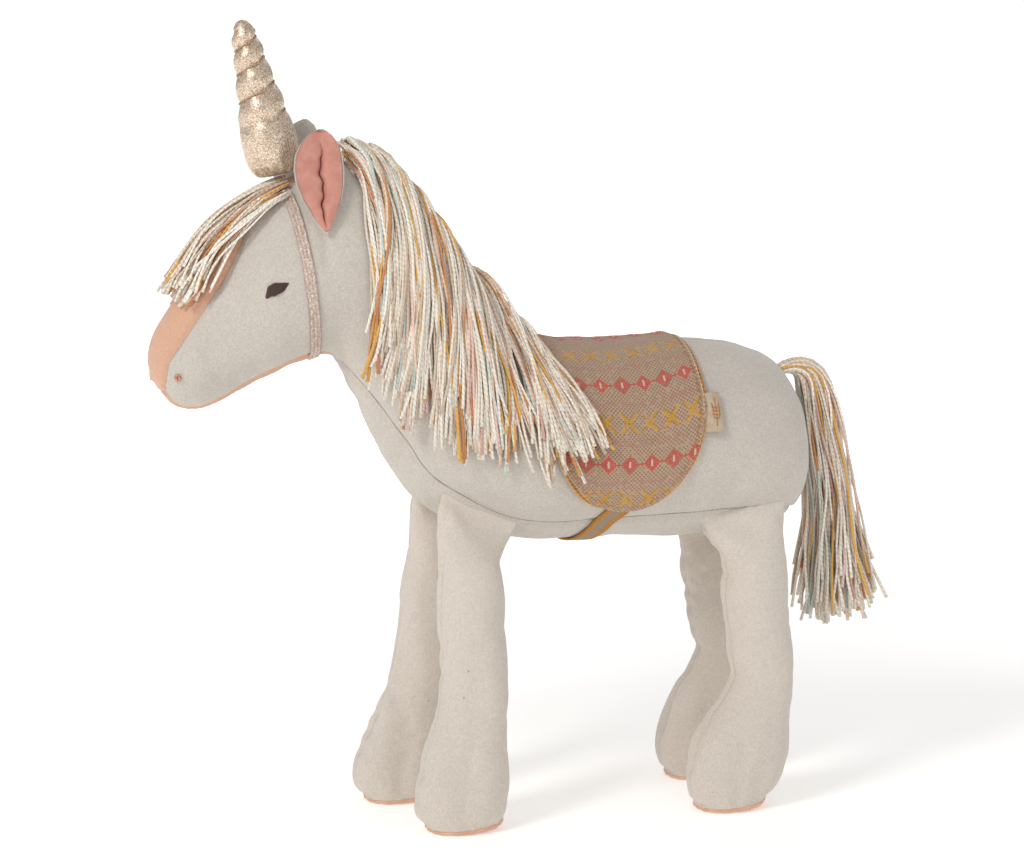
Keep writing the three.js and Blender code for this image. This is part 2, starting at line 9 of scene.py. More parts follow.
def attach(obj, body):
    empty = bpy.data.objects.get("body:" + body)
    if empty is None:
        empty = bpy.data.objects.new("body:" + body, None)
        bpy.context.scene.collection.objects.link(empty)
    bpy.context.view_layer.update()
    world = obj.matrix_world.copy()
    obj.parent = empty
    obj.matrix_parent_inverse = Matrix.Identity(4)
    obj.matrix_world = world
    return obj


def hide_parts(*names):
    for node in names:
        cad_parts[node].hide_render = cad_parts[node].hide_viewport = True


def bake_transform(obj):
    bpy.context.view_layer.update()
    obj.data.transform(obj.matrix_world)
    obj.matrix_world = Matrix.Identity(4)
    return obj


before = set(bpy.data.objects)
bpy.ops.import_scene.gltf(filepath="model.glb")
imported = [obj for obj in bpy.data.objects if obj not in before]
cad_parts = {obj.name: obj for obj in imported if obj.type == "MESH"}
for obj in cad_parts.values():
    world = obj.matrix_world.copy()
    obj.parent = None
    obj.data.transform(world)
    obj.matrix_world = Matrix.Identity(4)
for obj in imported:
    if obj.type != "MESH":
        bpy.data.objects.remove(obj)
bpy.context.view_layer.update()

random = np.random.default_rng(41)

# Lengths are worked out in millimetres and become metres as a mesh is made.
millimetre = 0.001
middleX = 6.7  # the pattern's own X at the origin


def smoothstep(low, high, value):
    share = np.clip((np.asarray(value, float) - low) / (high - low), 0, 1)
    return share * share * (3 - 2 * share)


def readTable(table, place):
    table = np.array(table, float)
    return np.interp(place, table[:, 0], table[:, 1])


def bell(distance, width):
    # 1 at no distance, fading out over about the width
    return np.exp(-((distance / width) ** 2))


def unit(vectors):
    return vectors / np.maximum(np.linalg.norm(vectors, axis=-1, keepdims=True), 1e-9)


def deselectAll():
    for each in list(bpy.context.selected_objects):
        each.select_set(False)


def gridFaces(rows, columns, around):
    i, j = np.meshgrid(np.arange(rows - 1), np.arange(columns if around else columns - 1), indexing="ij")
    nextJ = (j + 1) % columns
    a, b = i * columns + j, i * columns + nextJ
    c, d = (i + 1) * columns + nextJ, (i + 1) * columns + j
    return np.stack([a, b, c, d], -1).reshape(-1, 4)


def signedVolume(points, faces):
    total = 0.0
    for face in faces:
        p = points[np.asarray(face)]
        for k in range(1, len(face) - 1):
            total += np.dot(p[0], np.cross(p[k], p[k + 1]))
    return total


def makeObject(name, points, faces, uvs=None, flip=False):
    # mesh code shared by every stuffed, woven and threaded piece
    if flip:
        faces = [tuple(reversed(face)) for face in faces]
        uvs = None if uvs is None else [list(reversed(each)) for each in uvs]
    mesh = bpy.data.meshes.new(name)
    mesh.from_pydata(
        (np.asarray(points, float) * millimetre).tolist(), [], [tuple(map(int, f)) for f in faces]
    )
    if uvs is not None:
        layer = mesh.uv_layers.new(name="cloth")
        flat = np.concatenate([np.asarray(each, float).reshape(-1) for each in uvs])
        layer.data.foreach_set("uv", flat.astype(np.float32))
    mesh.polygons.foreach_set("use_smooth", np.ones(len(mesh.polygons), bool))
    mesh.update()
    piece = bpy.data.objects.new(name, mesh)
    bpy.context.scene.collection.objects.link(piece)
    return piece


def stuffedGrid(name, grid):
    # a closed skin through rings of points, with its UV in millimetres round and along it
    rows, columns = grid.shape[:2]
    points = grid.reshape(-1, 3)
    faces = [tuple(f) for f in gridFaces(rows, columns, True)]
    step = np.linalg.norm(np.roll(grid, -1, 1) - grid, axis=2)
    girth = step.sum(1).mean()
    across = np.arange(columns + 1) / columns * girth
    lengths = np.linalg.norm(np.diff(grid, axis=0), axis=2).mean(1)
    along = np.concatenate([[0], np.cumsum(lengths)])
    uvs = []
    for i in range(rows - 1):
        for j in range(columns):
            left, right = across[j], across[j + 1]
            low, high = along[i], along[i + 1]
            uvs.append([(left, low), (right, low), (right, high), (left, high)])
    for row, order in ((0, -1), (rows - 1, 1)):
        hub = len(points)
        points = np.vstack([points, grid[row].mean(0)])
        ring = [row * columns + j for j in range(columns)]
        for j in range(columns):
            a, b = ring[j], ring[(j + 1) % columns]
            faces.append((hub, a, b) if order > 0 else (hub, b, a))
            uvs.append([(across[j], along[row])] * 3)
    flip = signedVolume(points, faces) < 0
    return makeObject(name, points, faces, uvs, flip)


def giveFloat(piece, name, values, ends):
    # a number for each point of a stuffed grid, and one for the middle of each of its two ends
    attribute = piece.data.attributes.new(name, "FLOAT", "POINT")
    values = np.concatenate([np.asarray(values, float).reshape(-1), ends])
    attribute.data.foreach_set("value", values.astype(np.float32))


def cubicRows(values, wanted, around):
    # values read between rows with a smooth curve; wanted holds row numbers with fractions
    count = len(values)
    base = np.floor(wanted).astype(int)
    share = (wanted - base).reshape((-1,) + (1,) * (values.ndim - 1))

    def row(step):
        index = base + step
        return values[index % count] if around else values[np.clip(index, 0, count - 1)]

    a, b, c, d = row(-1), row(0), row(1), row(2)
    inSlope, outSlope = (c - a) / 2, (d - b) / 2
    cube = 2 * b - 2 * c + inSlope + outSlope
    square = 3 * c - 3 * b - 2 * inSlope - outSlope
    return (cube * share + square) * share ** 2 + inSlope * share + b


def resample(grid, rows, columns):
    tall = cubicRows(grid, np.linspace(0, len(grid) - 1, rows), False)
    wide = cubicRows(np.swapaxes(tall, 0, 1), np.arange(columns) / columns * grid.shape[1], True)
    return np.swapaxes(wide, 0, 1)


def smoothPaths(paths, rounds=2):
    # each point is drawn towards its neighbours along the thread; the ends stay
    for _ in range(rounds):
        paths[:, 1:-1] = (paths[:, :-2] + paths[:, 1:-1] * 2 + paths[:, 2:]) / 4
    return paths


def newMaterial(name):
    material = bpy.data.materials.new(name)
    material.use_nodes = True
    tree = material.node_tree
    shader = next(n for n in tree.nodes if n.type == "BSDF_PRINCIPLED")
    return material, tree, shader


def node(tree, kind, links=None, **settings):
    # adds a node; links maps an input's name or number to a value or to another node's output
    made = tree.nodes.new("ShaderNode" + kind)
    for key, value in settings.items():
        setattr(made, key, value)
    for key, value in (links or {}).items():
        socket = made.inputs[key]
        if isinstance(value, bpy.types.NodeSocket):
            tree.links.new(value, socket)
        else:
            socket.default_value = value
    return made


def linear(red, green, blue):
    # a colour as the eye sees it, 0 to 255, as the renderer wants it
    values = [c / 255 for c in (red, green, blue)]
    return tuple(c / 12.92 if c <= 0.04045 else ((c + 0.055) / 1.055) ** 2.4 for c in values) + (1.0,)


def mixColour(tree, share, first, second):
    made = tree.nodes.new("ShaderNodeMix")
    made.data_type = "RGBA"
    for socket, value in ((made.inputs[0], share), (made.inputs[6], first), (made.inputs[7], second)):
        if isinstance(value, bpy.types.NodeSocket):
            tree.links.new(value, socket)
        else:
            socket.default_value = value
    return made.outputs[2]


def tinted(tree, tone, mask, strength, colour):
    # the tone with another colour over it, where the mask is light
    return mixColour(tree, maths(tree, "MULTIPLY", mask, strength), tone, colour)


def maths(tree, operation, first, second=0.5, third=None):
    made = tree.nodes.new("ShaderNodeMath")
    made.operation = operation
    for index, value in enumerate((first, second, third)):
        if value is None:
            continue
        if isinstance(value, bpy.types.NodeSocket):
            tree.links.new(value, made.inputs[index])
        else:
            made.inputs[index].default_value = value
    return made.outputs[0]


def ramp(tree, value, low, high):
    made = node(tree, "MapRange", {0: value, 1: low, 2: high})
    made.interpolation_type = "SMOOTHSTEP"
    return made.outputs[0]


def noise(tree, vector, scale, detail=3.0, roughness=0.55):
    wanted = {"Vector": vector, "Scale": scale, "Detail": detail, "Roughness": roughness}
    return node(tree, "TexNoise", wanted).outputs[0]


def objectPlace(tree):
    return node(tree, "TexCoord").outputs["Object"]


def clothPlace(tree):
    return node(tree, "UVMap", uv_map="cloth").outputs[0]


def attribute(tree, name, output="Fac"):
    return node(tree, "Attribute", attribute_name=name).outputs[output]


def stretched(tree, vector, scale):
    return node(tree, "Mapping", {"Vector": vector, "Scale": scale}).outputs[0]


def bump(tree, height, strength, distance):
    return node(tree, "Bump", {"Strength": strength, "Distance": distance, "Height": height}).outputs[0]


def dress(piece, material):
    piece.data.materials.clear()
    piece.data.materials.append(material)


feltLook = {
    "wool": (200, 192, 183), "woolShade": (179, 169, 158), "woolLight": (216, 209, 201),
    "peach": (214, 167, 140), "peachShade": (197, 148, 120), "peachLight": (224, 187, 163),
    # seam is the colour of the painted shade in the seams' grooves
    "seam": (98, 82, 70), "fuzz": 0.35,
}


def feltMaterial(name, gusset):
    # brushed wool; with gusset on, the parts where blaze is negative are peach cotton
    material, tree, shader = newMaterial(name)
    place = objectPlace(tree)
    cloud = noise(tree, place, 45, 3)
    heather = noise(tree, place, 950, 4, 0.75)
    fibre = noise(tree, stretched(tree, place, (1.0, 0.55, 1.6)), 2300, 3, 0.7)
    look = {key: linear(*value) for key, value in feltLook.items() if key != "fuzz"}

    def coloured(prefix, strong):
        tone = mixColour(
            tree, ramp(tree, heather, 0.32, 0.68), look[prefix + "Shade"], look[prefix + "Light"]
        )
        tone = mixColour(tree, strong, look[prefix], tone)
        fleck = maths(tree, "MULTIPLY", ramp(tree, fibre, 0.56, 0.74), 0.35)
        tone = mixColour(tree, fleck, tone, look[prefix + "Light"])
        dark = maths(tree, "MULTIPLY", ramp(tree, fibre, 0.44, 0.27), 0.3)
        return mixColour(tree, dark, tone, look[prefix + "Shade"])

    colour = coloured("wool", 0.5)
    if gusset:
        blaze = attribute(tree, "blaze")
        colour = mixColour(tree, ramp(tree, blaze, -0.12, 0.12), coloured("peach", 0.35), colour)
        # painted shade along the face, chin and belly seams and the cheek dart, where the cloth is drawn into
        # a groove; its width comes and goes in dashes like stitches
        stitchRun = attribute(tree, "seamRun")
        stitch = maths(tree, "SINE", maths(tree, "MULTIPLY", stitchRun, 2.6))
        width = maths(tree, "MULTIPLY_ADD", stitch, 0.14, 0.6)
        for seam, strength in (
            ("faceSeamGap", 0.25), ("chinSeamGap", 0.2), ("bellySeamGap", 0.6), ("dartGap", 0.7)
        ):
            gap = maths(tree, "ABSOLUTE", attribute(tree, seam))
            dark = maths(tree, "SUBTRACT", 1.0, ramp(tree, maths(tree, "DIVIDE", gap, width), 0.3, 1.15))
            colour = tinted(tree, colour, dark, strength, look["seam"])
    colour = tinted(tree, colour, ramp(tree, cloud, 0.35, 0.7), 0.12, look["woolShade"])
    tree.links.new(colour, shader.inputs["Base Color"])
    shader.inputs["Roughness"].default_value = 0.93
    shader.inputs["Specular IOR Level"].default_value = 0.2
    shader.inputs["Sheen Weight"].default_value = feltLook["fuzz"]
    shader.inputs["Sheen Roughness"].default_value = 0.45
    height = maths(tree, "ADD", maths(tree, "MULTIPLY", heather, 0.6), maths(tree, "MULTIPLY", fibre, 0.5))
    tree.links.new(bump(tree, height, 0.5, 0.0007), shader.inputs["Normal"])
    return material


linenLook = {
    "linen": (209, 200, 190), "shade": (188, 175, 161), "light": (225, 217, 208), "speck": (128, 102, 78),
    "thread": 1.35
}


def linenMaterial(name):
    # a loose plain weave with slubs and a few dark flecks, on the leg's own UV in millimetres
    material, tree, shader = newMaterial(name)
    cloth = clothPlace(tree)
    place = objectPlace(tree)
    look = {key: linear(*value) for key, value in linenLook.items() if key != "thread"}
    wobble = noise(tree, cloth, 0.35, 2)
    split = node(tree, "SeparateXYZ", {0: cloth})
    turns = 2 * math.pi / linenLook["thread"]
    warp = maths(tree, "SINE", maths(tree, "MULTIPLY", maths(tree, "ADD", split.outputs[0], wobble), turns))
    weft = maths(tree, "SINE", maths(tree, "MULTIPLY", maths(tree, "ADD", split.outputs[1], wobble), turns))
    weave = maths(tree, "MULTIPLY_ADD", maths(tree, "MULTIPLY", warp, weft), 0.5, 0.5)
    slubRound = noise(tree, stretched(tree, cloth, (0.06, 0.9, 1)), 1.0, 3, 0.65)
    slubAlong = noise(tree, stretched(tree, cloth, (0.9, 0.06, 1)), 1.0, 3, 0.65)
    fibre = noise(tree, place, 1300, 4, 0.7)
    heather = noise(tree, place, 820, 4, 0.75)
    tone = mixColour(tree, ramp(tree, heather, 0.33, 0.67), look["shade"], look["light"])
    tone = mixColour(tree, 0.36, look["linen"], tone)
    tone = tinted(tree, tone, ramp(tree, slubRound, 0.58, 0.75), 0.45, look["light"])
    tone = tinted(tree, tone, ramp(tree, slubAlong, 0.4, 0.25), 0.35, look["shade"])
    tone = tinted(tree, tone, ramp(tree, weave, 0.5, 0.05), 0.16, look["shade"])
    tone = tinted(tree, tone, ramp(tree, fibre, 0.45, 0.3), 0.25, look["shade"])
    flecks = node(tree, "TexVoronoi", {"Vector": place, "Scale": 95.0, "Randomness": 1.0})
    chosen = node(tree, "SeparateColor", {0: flecks.outputs["Color"]})
    near = maths(
        tree, "MULTIPLY", maths(tree, "LESS_THAN", flecks.outputs["Distance"], 0.05),
        maths(tree, "GREATER_THAN", chosen.outputs[0], 0.6)
    )
    tone = tinted(tree, tone, near, 0.55, look["speck"])
    # painted shade along the leg's side seams, and deeper painted shade along its top seam, where it is
    # tucked under the trunk
    seam = attribute(tree, "seamGap")
    for gap, strength in ((seam, 0.22), (attribute(tree, "topGap"), 0.75)):
        dark = maths(tree, "SUBTRACT", 1.0, ramp(tree, gap, 0.1, 0.9))
        tone = tinted(tree, tone, dark, strength, linear(106, 88, 74))
    tree.links.new(tone, shader.inputs["Base Color"])
    shader.inputs["Roughness"].default_value = 0.92
    shader.inputs["Specular IOR Level"].default_value = 0.2
    shader.inputs["Sheen Weight"].default_value = 0.22
    shader.inputs["Sheen Roughness"].default_value = 0.5
    height = maths(tree, "ADD", maths(tree, "MULTIPLY", weave, 0.35), maths(tree, "MULTIPLY", fibre, 0.35))
    height = maths(tree, "ADD", height, maths(tree, "MULTIPLY", slubRound, 0.5))
    tree.links.new(bump(tree, height, 0.4, 0.0005), shader.inputs["Normal"])
    return material


def cottonMaterial(name, base, shade, light, weave=0.9, sheen=0.2, crease=None):
    # fine plain cotton on Object coordinates
    material, tree, shader = newMaterial(name)
    place = objectPlace(tree)
    mottle = noise(tree, place, 160, 4, 0.6)
    fibre = noise(tree, place, 1700, 3, 0.7)
    tone = mixColour(tree, ramp(tree, mottle, 0.35, 0.65), linear(*shade), linear(*light))
    tone = mixColour(tree, 0.35, linear(*base), tone)
    tone = tinted(tree, tone, ramp(tree, fibre, 0.45, 0.3), 0.3, linear(*shade))
    # a crease mask, if given, darkens the cloth towards the crease colour, as painted shade in the fold
    if crease is not None:
        tone = tinted(tree, tone, attribute(tree, "crease"), 0.85, linear(*crease))
    tree.links.new(tone, shader.inputs["Base Color"])
    shader.inputs["Roughness"].default_value = 0.88
    shader.inputs["Specular IOR Level"].default_value = 0.25
    shader.inputs["Sheen Weight"].default_value = sheen
    tree.links.new(bump(tree, fibre, 0.35 * weave, 0.0004), shader.inputs["Normal"])
    return material


# the first colour is painted onto some grains as painted glints
glitterLook = {"glint": (255, 246, 230), "mid": (230, 204, 178), "deep": (152, 124, 102)}


def glitterMaterial(name, grain, tilt):
    # metal foil broken into grains that each face their own way
    material, tree, shader = newMaterial(name)
    place = objectPlace(tree)
    grains = node(tree, "TexVoronoi", {"Vector": place, "Scale": grain, "Randomness": 1.0})
    fine = node(tree, "TexVoronoi", {"Vector": place, "Scale": grain * 2.3, "Randomness": 1.0})
    parts = node(tree, "SeparateColor", {0: grains.outputs["Color"]})
    tone = mixColour(
        tree, ramp(tree, parts.outputs[0], 0.0, 0.75), linear(*glitterLook["deep"]),
        linear(*glitterLook["mid"])
    )
    # some grains are painted near-white, as painted glints of the foil
    tone = mixColour(tree, ramp(tree, parts.outputs[1], 0.5, 0.85), tone, linear(*glitterLook["glint"]))
    tone = tinted(
        tree, tone, ramp(tree, fine.outputs["Distance"], 0.25, 0.6), 0.35, linear(*glitterLook["deep"])
    )
    tree.links.new(tone, shader.inputs["Base Color"])
    shader.inputs["Metallic"].default_value = 0.85
    shader.inputs["Roughness"].default_value = 0.4
    grainTilt = node(
        tree, "VectorMath", {0: grains.outputs["Color"], 1: (0.5, 0.5, 0.5)}, operation="SUBTRACT"
    )
    fineTilt = node(tree, "VectorMath", {0: fine.outputs["Color"], 1: (0.5, 0.5, 0.5)}, operation="SUBTRACT")
    both = node(tree, "VectorMath", {0: grainTilt.outputs[0], 1: fineTilt.outputs[0]}, operation="ADD")
    scaled = node(tree, "VectorMath", {0: both.outputs[0], 3: tilt}, operation="SCALE")
    normal = node(tree, "NewGeometry").outputs["Normal"]
    tipped = node(tree, "VectorMath", {0: normal, 1: scaled.outputs[0]}, operation="ADD")
    tree.links.new(
        node(tree, "VectorMath", {0: tipped.outputs[0]}, operation="NORMALIZE").outputs[0],
        shader.inputs["Normal"]
    )
    return material


def yarnMaterial(name):
    # twisted cotton: each strand's own colour, with the ply's groove running round it
    material, tree, shader = newMaterial(name)
    tint = attribute(tree, "yarnTint", "Color")
    cloth = clothPlace(tree)
    place = objectPlace(tree)
    split = node(tree, "SeparateXYZ", {0: cloth})
    turn = maths(
        tree, "ADD", maths(tree, "MULTIPLY", split.outputs[0], 4 * math.pi),
        maths(tree, "MULTIPLY", split.outputs[1], 2.5)
    )
    ply = maths(tree, "MULTIPLY_ADD", maths(tree, "SINE", turn), 0.5, 0.5)
    fuzz = noise(tree, place, 1600, 3, 0.7)
    # the ply's groove is painted darker and browner, as painted shade
    tone = mixColour(
        tree, maths(tree, "MULTIPLY", ramp(tree, ply, 0.45, 0.0), 0.28), tint, linear(168, 134, 100)
    )
    tone = tinted(tree, tone, ramp(tree, fuzz, 0.5, 0.7), 0.35, linear(252, 249, 242))
    tree.links.new(tone, shader.inputs["Base Color"])
    shader.inputs["Roughness"].default_value = 0.85
    shader.inputs["Specular IOR Level"].default_value = 0.25
    shader.inputs["Sheen Weight"].default_value = 0.25
    height = maths(tree, "ADD", ply, maths(tree, "MULTIPLY", fuzz, 0.6))
    tree.links.new(bump(tree, height, 0.5, 0.0004), shader.inputs["Normal"])
    return material


wool = feltMaterial("heatheredWool", False)
headAndBodyCloth = feltMaterial("woolAndPeachPanels", True)
linen = linenMaterial("slubLinen")
solePeach = cottonMaterial("solePeachCotton", (222, 176, 150), (200, 146, 120), (232, 196, 176), 1.4)
# the ear lining's fold is darkened in its own colour, as painted shade
earPink = cottonMaterial(
    "earPinkCotton", (200, 141, 126), (184, 123, 108), (211, 157, 142), 0.6, 0.1, (120, 66, 54)
)
glitterGold = glitterMaterial("goldLame", 2600.0, 0.2)
yarnLook = yarnMaterial("spaceDyedYarn")
print("materials ready")


# The trunk's ribs from rump to muzzle: X and Z of the top line, X and Z of the under line, half the width.
ribs = np.array(
    [
        (151.5, 173, 151.5, 171, 1), (150.5, 190, 151, 153, 20), (146, 208.5, 145.5, 144.5, 34),
        (137, 222.5, 137.5, 139, 43), (124, 229.2, 124, 135.5, 47), (100, 234, 102, 134, 49),
        (70, 233.2, 72, 134, 49.5), (40, 231.4, 40, 135, 49), (14, 232.4, 10, 136, 48),
        (1, 240, -15, 140, 47), (-12, 254, -36, 149, 45), (-26, 272, -53, 162, 42),
        (-38, 287, -64, 180, 39), (-50, 301, -73, 197, 36), (-62, 313, -80, 212, 33),
        (-74, 321, -86, 224, 31), (-86, 324, -91, 230, 30.5), (-97, 321.5, -97, 231, 30.5),
        (-108, 316.5, -104, 229, 30), (-119, 310, -112, 226.5, 29), (-130, 302, -120, 223, 27.5),
        (-141, 292, -129, 219, 25.5), (-151, 281, -138, 214.5, 23.5), (-160, 269, -147, 210, 21.5),
        (-169, 256, -157, 206.5, 19.5), (-177, 243, -167, 208, 16.5), (-180.5, 231, -174, 214.5, 10.5),
        (-179.5, 223, -179, 221, 1),
    ],
    float
)
lastRib = len(ribs) - 1

trunkFit = {
    "rows": 250, "columns": 184,  # of the finished skin
    "simRows": 92, "simColumns": 60, "simFrames": 14, "pressure": 3.2, "seamShrink": 0.1,
    "grooveDepth": 1.5, "grooveWidth": 2.2, "most": 3.0,  # millimetres
}

# Seams, as (rib, degrees round the trunk from its top line)
faceSeam = [
    (17, 0.6), (19, 20), (20, 21), (21, 42), (22, 54), (23, 59), (24, 65), (25, 74), (25.6, 104),
    (26.1, 178), (27, 180)
]
chinSeam = [
    (16, 176), (17, 166), (18, 160), (20, 159), (22, 160), (23.5, 163), (24.6, 166), (25.3, 163),
    (25.8, 140), (26.1, 90), (27, 90)
]
bellySeam = [
    (0, 180), (1, 177), (2, 156), (3, 141), (4, 134), (5.2, 134), (6, 135.5), (7, 139), (8, 142),
    (9, 142.5), (10, 142), (11, 144), (12, 146), (13, 149), (14, 156), (15, 167), (16, 176), (17, 181)
]


def ribAt(place):
    return cubicRows(ribs, np.clip(np.asarray(place, float), 0, lastRib - 1e-6).reshape(-1), False).reshape(
        np.shape(place) + (5,)
    )


def trunkPoint(place, angle):
    # a point on the trunk's cloth, in millimetres; a positive angle goes down the left side
    rib = ribAt(place)
    up, out = np.cos(np.radians(angle)), np.sin(np.radians(angle))
    narrowing = np.where(np.asarray(place) > 8, 0.1, 0.02 + 0.08 * smoothstep(6, 8, place))
    x = (rib[..., 0] + rib[..., 2]) / 2 + (rib[..., 0] - rib[..., 2]) / 2 * up - middleX
    z = (rib[..., 1] + rib[..., 3]) / 2 + (rib[..., 1] - rib[..., 3]) / 2 * up
    return np.stack([x, -rib[..., 4] * out * (1 - narrowing * up), z], -1)


def trunkNormal(place, angle):
    place = np.clip(np.asarray(place, float), 0.2, lastRib - 0.2)
    angle = np.asarray(angle, float)
    along = trunkPoint(place + 0.05, angle) - trunkPoint(place - 0.05, angle)
    around = trunkPoint(place, angle + 1) - trunkPoint(place, angle - 1)
    return unit(np.cross(along, around))


def trunkPlaces(count):
    # rib numbers spaced evenly along the body
    fine = np.linspace(0, lastRib, 1200)
    rib = ribAt(fine)
    line = np.stack([(rib[:, 0] + rib[:, 2]) / 2, (rib[:, 1] + rib[:, 3]) / 2, rib[:, 4]], 1)
    run = np.concatenate([[0], np.cumsum(np.linalg.norm(np.diff(line, axis=0), axis=1))])
    return np.interp(np.linspace(0, run[-1], count), run, fine)


def seamDistances(place, angle):
    # how far each point lies from each seam, in millimetres: blaze, chin, belly, top line and cheek dart
    around = np.abs((angle + 180) % 360 - 180)
    radius = np.maximum(ribAt(place)[..., 4], 4) * np.pi / 180
    face = (around - readTable(faceSeam, place)) * radius
    chin = (readTable(chinSeam, place) - around) * radius
    belly = (readTable(bellySeam, place) - around) * radius
    face = np.where(place < 17, 30, face)
    chin = np.where((place < 16) | (place > 25.85), 30, chin)
    belly = np.where(place > 16, 30, belly)
    crest = np.where(place < 17, around * radius, 30)
    dart = np.hypot((place - 17.3) * 9.5, np.maximum(np.abs(around - 79) - 9, 0) * 0.75)
    return face, chin, belly, crest, dart


def puffed(name, grid, tight, pinned, fit):
    # cloth blown up from inside, with its seams drawn tight; gives how far each point moved, in millimetres
    rows, columns = grid.shape[:2]
    scale = 10.0  # the sewn cloth is simulated ten times its size, where its folds are steadier
    piece = stuffedGrid(name, grid * scale)
    shrink = piece.vertex_groups.new(name="tight")
    pin = piece.vertex_groups.new(name="pinned")
    for index in range(rows * columns):
        i, j = divmod(index, columns)
        shrink.add([index], float(tight[i, j]), "REPLACE")
        pin.add([index], float(pinned[i, j]), "REPLACE")
    modifier = piece.modifiers.new("puff", "CLOTH")
    cloth = modifier.settings
    cloth.quality = 5
    cloth.mass = 0.25
    cloth.tension_stiffness = cloth.compression_stiffness = 18
    cloth.shear_stiffness = 6
    cloth.bending_stiffness = 0.6
    cloth.use_pressure = True
    cloth.uniform_pressure_force = fit["pressure"]
    cloth.vertex_group_mass = "pinned"
    cloth.vertex_group_shrink = "tight"
    cloth.shrink_min = 0.0
    cloth.shrink_max = fit["seamShrink"]
    cloth.effector_weights.gravity = 0
    modifier.collision_settings.use_collision = False
    modifier.point_cache.frame_start = 1
    modifier.point_cache.frame_end = fit["simFrames"] + 1
    for step in range(1, fit["simFrames"] + 1):
        bpy.context.scene.frame_set(step)
    shown = piece.evaluated_get(bpy.context.evaluated_depsgraph_get()).to_mesh()
    values = np.zeros(len(shown.vertices) * 3)
    shown.vertices.foreach_get("co", values)
    moved = values.reshape(-1, 3)[: rows * columns] / millimetre / scale - grid.reshape(-1, 3)
    bpy.data.objects.remove(piece)
    bpy.context.scene.frame_set(1)
    length = np.linalg.norm(moved, axis=1, keepdims=True)
    moved *= np.minimum(1, fit["most"] / np.maximum(length, 1e-6))
    return moved.reshape(rows, columns, 3)


def softRipple(points, size, amount, seed):
    # slow unevenness of the filling, as a few crossing waves
    source = np.random.default_rng(seed)
    total = np.zeros(points.shape[:-1])
    for _ in range(7):
        direction = unit(source.normal(size=3))
        length = size * source.uniform(0.7, 1.5)
        total += np.sin(points @ direction * 2 * np.pi / length + source.uniform(0, 6.28))
    return total / 7 * amount


def buildTrunk():
    fit = trunkFit
    coarsePlaces = trunkPlaces(fit["simRows"])
    coarseAngles = np.arange(fit["simColumns"]) / fit["simColumns"] * 360
    place, angle = np.meshgrid(coarsePlaces, coarseAngles, indexing="ij")
    grid = trunkPoint(place, angle)
    moved = np.zeros_like(grid)
    nearest = np.min(np.abs(np.stack(seamDistances(place, angle))), axis=0)
    tight = bell(nearest, 4.0)
    pinned = 0.35 * bell(nearest, 3.0)
    moved = puffed("trunkPuff", grid, tight, pinned, fit)
    # the head and throat are stuffed hard and give least
    moved *= (0.65 - 0.5 * smoothstep(11, 16, place))[..., None]
    # the finished skin
    rowShare = np.linspace(0, fit["simRows"] - 1, fit["rows"])
    places = np.interp(rowShare, np.arange(fit["simRows"]), coarsePlaces)
    angles = np.arange(fit["columns"]) / fit["columns"] * 360
    place, angle = np.meshgrid(places, angles, indexing="ij")
    fine = trunkPoint(place, angle)
    fine += resample(moved, fit["rows"], fit["columns"])
    distances = seamDistances(place, angle)
    nearest = np.min(np.abs(np.stack(distances)), axis=0)
    normal = trunkNormal(place, angle)
    groove = fit["grooveDepth"] * bell(nearest, fit["grooveWidth"])
    ease = smoothstep(0, 0.6, place) * smoothstep(lastRib, lastRib - 0.5, place)
    run = ribAt(place)[..., 0] + ribAt(place)[..., 1]
    pucker = 0.22 * np.sin(run * 1.15) * bell(nearest, 5.0) * (1 - bell(nearest, 1.4))
    lift = -groove + pucker + softRipple(fine, 38, 1.1, 5) + softRipple(fine, 15, 0.3, 6)
    fine += normal * (lift * ease)[..., None]
    trunk = stuffedGrid("trunkCover", fine)
    blaze = np.minimum(distances[0], distances[1])
    blaze[place > 25.8] = -5
    giveFloat(trunk, "blaze", np.clip(blaze, -20, 20), (20, -5))
    # the seams' distances, which the cloth darkens as painted shade
    for seam, values in zip(("faceSeamGap", "chinSeamGap", "bellySeamGap"), distances):
        giveFloat(trunk, seam, np.clip(values, -20, 20), (20, 20))
    giveFloat(trunk, "dartGap", np.clip(distances[4] + 0.1, 0, 20), (20, 20))
    giveFloat(trunk, "seamRun", run, (0, 0))
    return trunk


trunk = buildTrunk()
dress(trunk, headAndBodyCloth)
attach(trunk, "trunk")
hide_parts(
    "side_panel_left", "side_panel_right", "chest_and_belly_gusset", "blaze_gusset", "chin_gusset",
    "barrel_filling", "neck_filling", "head_filling"
)


def surfaceOf(piece):
    points = [v.co / millimetre for v in piece.data.vertices]
    return BVHTree.FromPolygons(points, [tuple(p.vertices) for p in piece.data.polygons])


trunkSurface = surfaceOf(trunk)
print("trunk sewn:", len(trunk.data.polygons), "faces")


